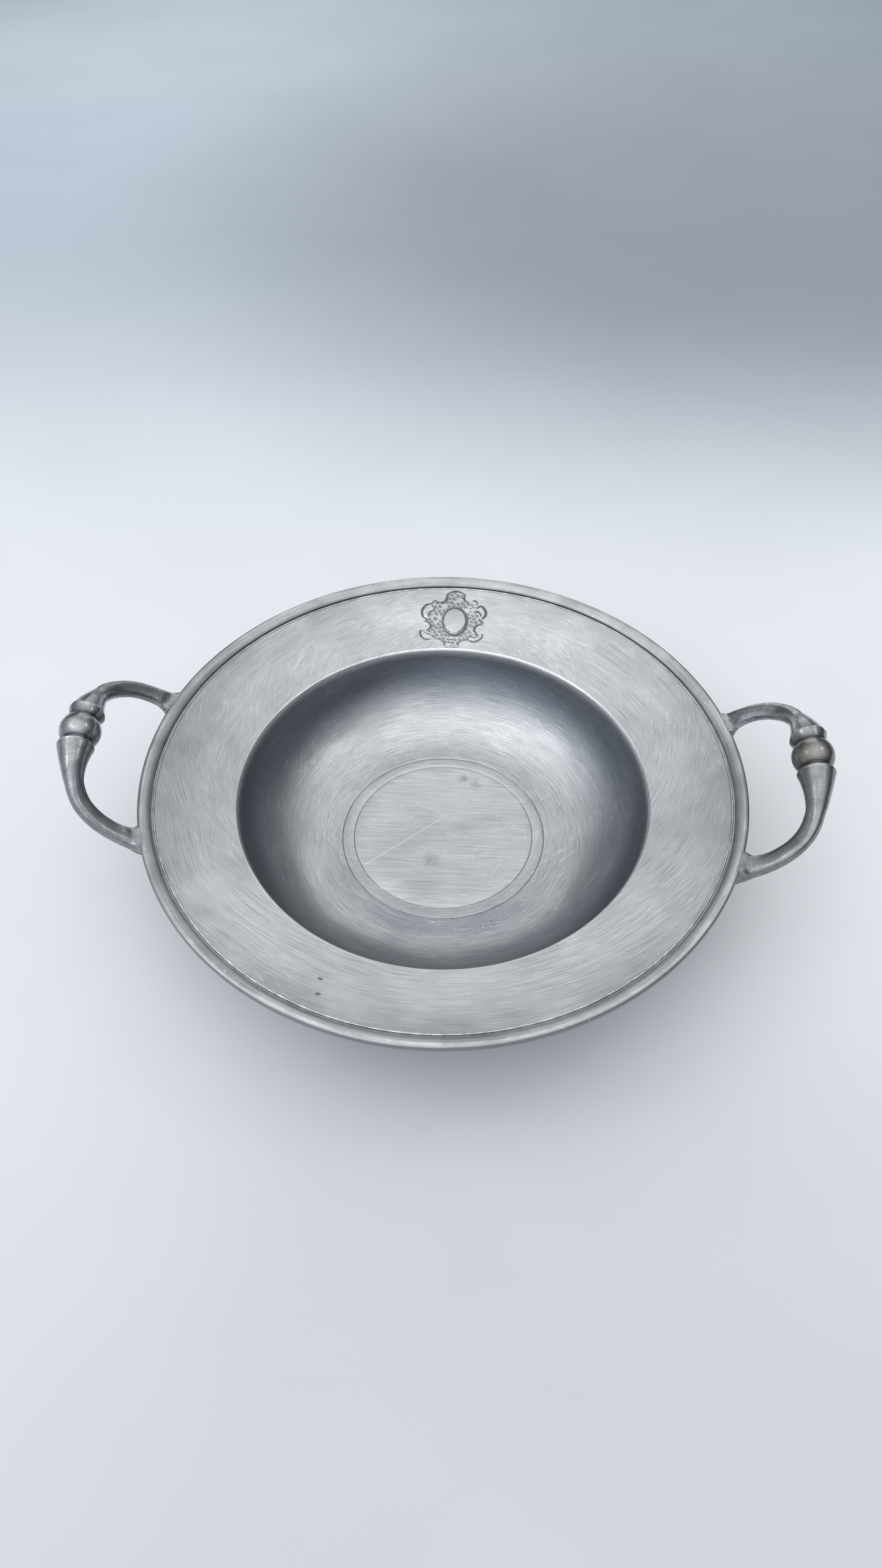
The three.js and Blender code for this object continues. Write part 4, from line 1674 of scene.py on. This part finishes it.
@dataclass
class Studio:
    """The pale paper with its painted shade, the lamps and the camera."""

    camera_place: Triple = (19.16, -332.3, 444.66)
    camera_turn: Triple = (40.0025, 0.1888, 3.2425)
    lens: float = 23.427
    floor_radius: float = 4.0
    paper_colour: str = "#E3E5E7"
    # Painted shade and shadow on the paper: far off, behind the bowl, far right and near
    shades: tuple[Shade, ...] = (
        Shade((-0.20, 2.40), (0.30, 1.00), 0.40, 2.40, "#A3ACB7"),
        Shade((-0.10, 0.92), (0.25, 1.00), 0.15, 0.74, "#B3BCC6"),
        Shade((0.60, 1.50), (0.60, 0.60), 0.20, 0.75, "#8A929C"),
        Shade((0.24, 0.86), (0.85, 0.95), 0.12, 0.64, "#8A9097"),
        Shade((0.16, -0.34), (0.60, 0.90), 0.08, 0.34, "#D0D2D5"),
    )
    all_round: float = 0.12
    overhead: float = 1.36
    glow: float = 0.68
    low_tint: str = "#DFE9F7"
    high_tint: str = "#FBFDFF"
    glow_from: Triple = (-0.66, -0.66, 0.34)

    def camera(self) -> None:
        """Sets the camera where the photograph was taken from."""
        place = tuple(v * MM for v in self.camera_place)
        turned = tuple(math.radians(a) for a in self.camera_turn)
        bpy.ops.object.camera_add(location=place, rotation=turned)
        camera = bpy.context.object
        camera.name = "studio_camera"
        camera.data.sensor_width = 36
        camera.data.sensor_fit = "AUTO"
        camera.data.lens = self.lens
        camera.data.clip_start = 0.01
        bpy.context.scene.camera = camera

    def lamp(self, name: str, place: Sequence[float], size: Point, power: float, colour: str) -> None:
        """Hangs one soft lamp that faces the bowl.

        Args:
            name: The lamp's name.
            place: Where it hangs in metres.
            size: The width and height of its panel in metres.
            power: Its power in watts.
            colour: The colour of its light.
        """
        aim = (-Vector(place)).to_track_quat("-Z", "Y").to_euler()
        bpy.ops.object.light_add(type="AREA", location=place, rotation=aim)
        lamp = bpy.context.object
        lamp.name = name
        lamp.data.shape = "RECTANGLE"
        lamp.data.size, lamp.data.size_y = size
        lamp.data.energy = power
        lamp.data.color = linear(colour)[:3]

    def lamps(self) -> None:
        """Hangs the lamps."""
        self.lamp("far_panel", (0.0, 1.62, 0.71), (1.24, 1.18), 4.0, "#FFFFFF")
        self.lamp("left_panel", (-0.72, -0.12, 0.90), (0.24, 0.24), 0.42, "#FFFFFF")
        self.lamp("right_panel", (0.66, 0.18, 0.92), (0.18, 0.18), 0.28, "#FFFFFF")

    def room(self) -> None:
        """Lights the bowl from all round, most from above and from the near left."""
        world = bpy.data.worlds.new("soft_room")
        bpy.context.scene.world = world
        sheet = Sheet(world)
        direction = sheet.add("TexCoord", (), "Generated")
        height = sheet.add("SeparateXYZ", (direction,), "Z")
        height = sheet.add("Clamp", (height,))
        overhead = sheet.add("Math POWER", (height, 2.0))
        overhead = sheet.add("Math MULTIPLY_ADD", (overhead, self.overhead, self.all_round))
        glow_from = Vector(self.glow_from).normalized()
        toward = sheet.add("VectorMath DOT_PRODUCT", (direction, glow_from), "Value")
        glow = sheet.add("MapRange SMOOTHSTEP", (toward, -0.09, 0.985))
        bright = sheet.add("Math MULTIPLY_ADD", (glow, self.glow, overhead))
        tint = coats(sheet, linear(self.low_tint), (height, self.high_tint))
        room = sheet.add("VectorMath SCALE", {0: tint, 3: bright})
        sheet.add("OutputWorld", {"Surface": sheet.add("Background", (room, 1.0))})

    def paper(self) -> bpy.types.Object:
        """Lays the pale paper that the bowl stands on, with its painted shade and shadow.

        Returns:
            The floor.
        """
        deselect_all()
        bpy.ops.mesh.primitive_circle_add(vertices=96, radius=self.floor_radius, fill_type="NGON")
        floor = bpy.context.object
        floor.name = "pale_paper"
        material = bpy.data.materials.new("matt_paper")
        sheet = Sheet(material)
        place = sheet.add("TexCoord", (), "Object")
        colour = linear(self.paper_colour)
        # Painted shade laid over the paper, oval by oval
        for shade in self.shades:
            moved = sheet.add("VectorMath SUBTRACT", (place, (*shade.middle, 0)))
            moved = sheet.add("VectorMath MULTIPLY", (moved, (*shade.stretch, 0)))
            away = sheet.add("VectorMath LENGTH", (moved,), "Value")
            share = sheet.add("MapRange SMOOTHSTEP", (away, shade.start, shade.end, 1, 0))
            colour = coats(sheet, colour, (share, shade.colour))
        clouds = sheet.add("TexNoise", {"Vector": place, "Size": 167, "Detail": 3})
        clouds = sheet.add("MapRange", (clouds, 0.3, 0.7, 0.97, 1.02))
        colour = sheet.add("VectorMath SCALE", {0: colour, 3: clouds})
        fibres = sheet.add("TexNoise", {"Vector": place, "Size": 1.429, "Detail": 3})
        bump = sheet.add("Bump", {"Strength": 0.05, "Distance": 0.0002, "Height": fibres}, "Normal")
        shader = sheet.add("BsdfPrincipled", {"Base Color": colour, "Roughness": 0.85, "Normal": bump})
        sheet.add("OutputMaterial", {"Surface": shader})
        dress(floor, material)
        return floor


@dataclass
class TwoHandledBowl:
    """The whole object: what is built, what it replaces and how it is dressed."""

    bowl: Bowl = field(default_factory=Bowl)
    rim: Rim = field(default_factory=Rim)
    foot: Foot = field(default_factory=Foot)
    handles: tuple[Handle, Handle] = field(
        default_factory=lambda: (
            Handle(
                Side.RIGHT,
                {End.FAR: Arm(4.7, 15.0, -2.8, 4.5), End.NEAR: Arm(3.1, 20.0, 2.4, 1.0)},
                twist=3.7,
                azimuth=-2.1,
                ball_shift=1.8,
                stain=1.0,
                polish=0.5,
                far_arm_painted_light=0.6,
            ),
            Handle(
                Side.LEFT,
                {End.FAR: Arm(4.7, 15.0, -0.4, 3.0), End.NEAR: Arm(3.1, 20.0, 1.0, 0.5)},
                twist=-0.8,
                azimuth=182.1,
                ball_shift=0.5,
                stain=0.1,
                polish=1.05,
            ),
        )
    )

    def fit(self, piece: bpy.types.Object, slot: str, material: bpy.types.Material, *nodes: str) -> None:
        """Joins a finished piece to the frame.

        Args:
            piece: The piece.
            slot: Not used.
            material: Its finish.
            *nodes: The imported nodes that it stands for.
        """
        dress(piece, material)
        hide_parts(*nodes)
        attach(piece, "root")
        log.info("%s: %d faces, stands for %s", piece.name, len(piece.data.polygons), ", ".join(nodes))

    def build(self) -> None:
        """Builds, dresses and fits every piece in order."""
        turned = TurnedPewter().material()
        moulding = MouldingPewter().material()
        cast = CastPewter().material()
        solder = FiledSolder().material()
        self.fit(self.bowl.build(), "bowl_pewter", turned, "bowl_body")
        self.fit(self.rim.build(), "moulding_pewter", moulding, "rim_moulding")
        self.fit(self.foot.ring(), "bowl_pewter", turned, "foot_ring")
        self.fit(self.foot.solder(), "solder", solder, "foot_solder_seam")
        for handle in self.handles:
            side = handle.side.value
            self.fit(handle.casting(), "handle_pewter", cast, f"handle_{side}")
            for end in End:
                self.fit(handle.solder(end), "solder", solder, f"solder_{side}_{end.value}")
        dress(bpy.data.objects["rim_solder_seam"], solder)


def main() -> None:
    """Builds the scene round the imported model."""
    logging.basicConfig(level=logging.INFO, format="%(name)s: %(message)s")
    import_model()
    deselect_all()
    studio = Studio()
    studio.camera()
    studio.lamps()
    studio.room()
    studio.paper()
    TwoHandledBowl().build()
    bpy.context.scene.view_settings.view_transform = "Standard"


if __name__ == "__main__":
    main()
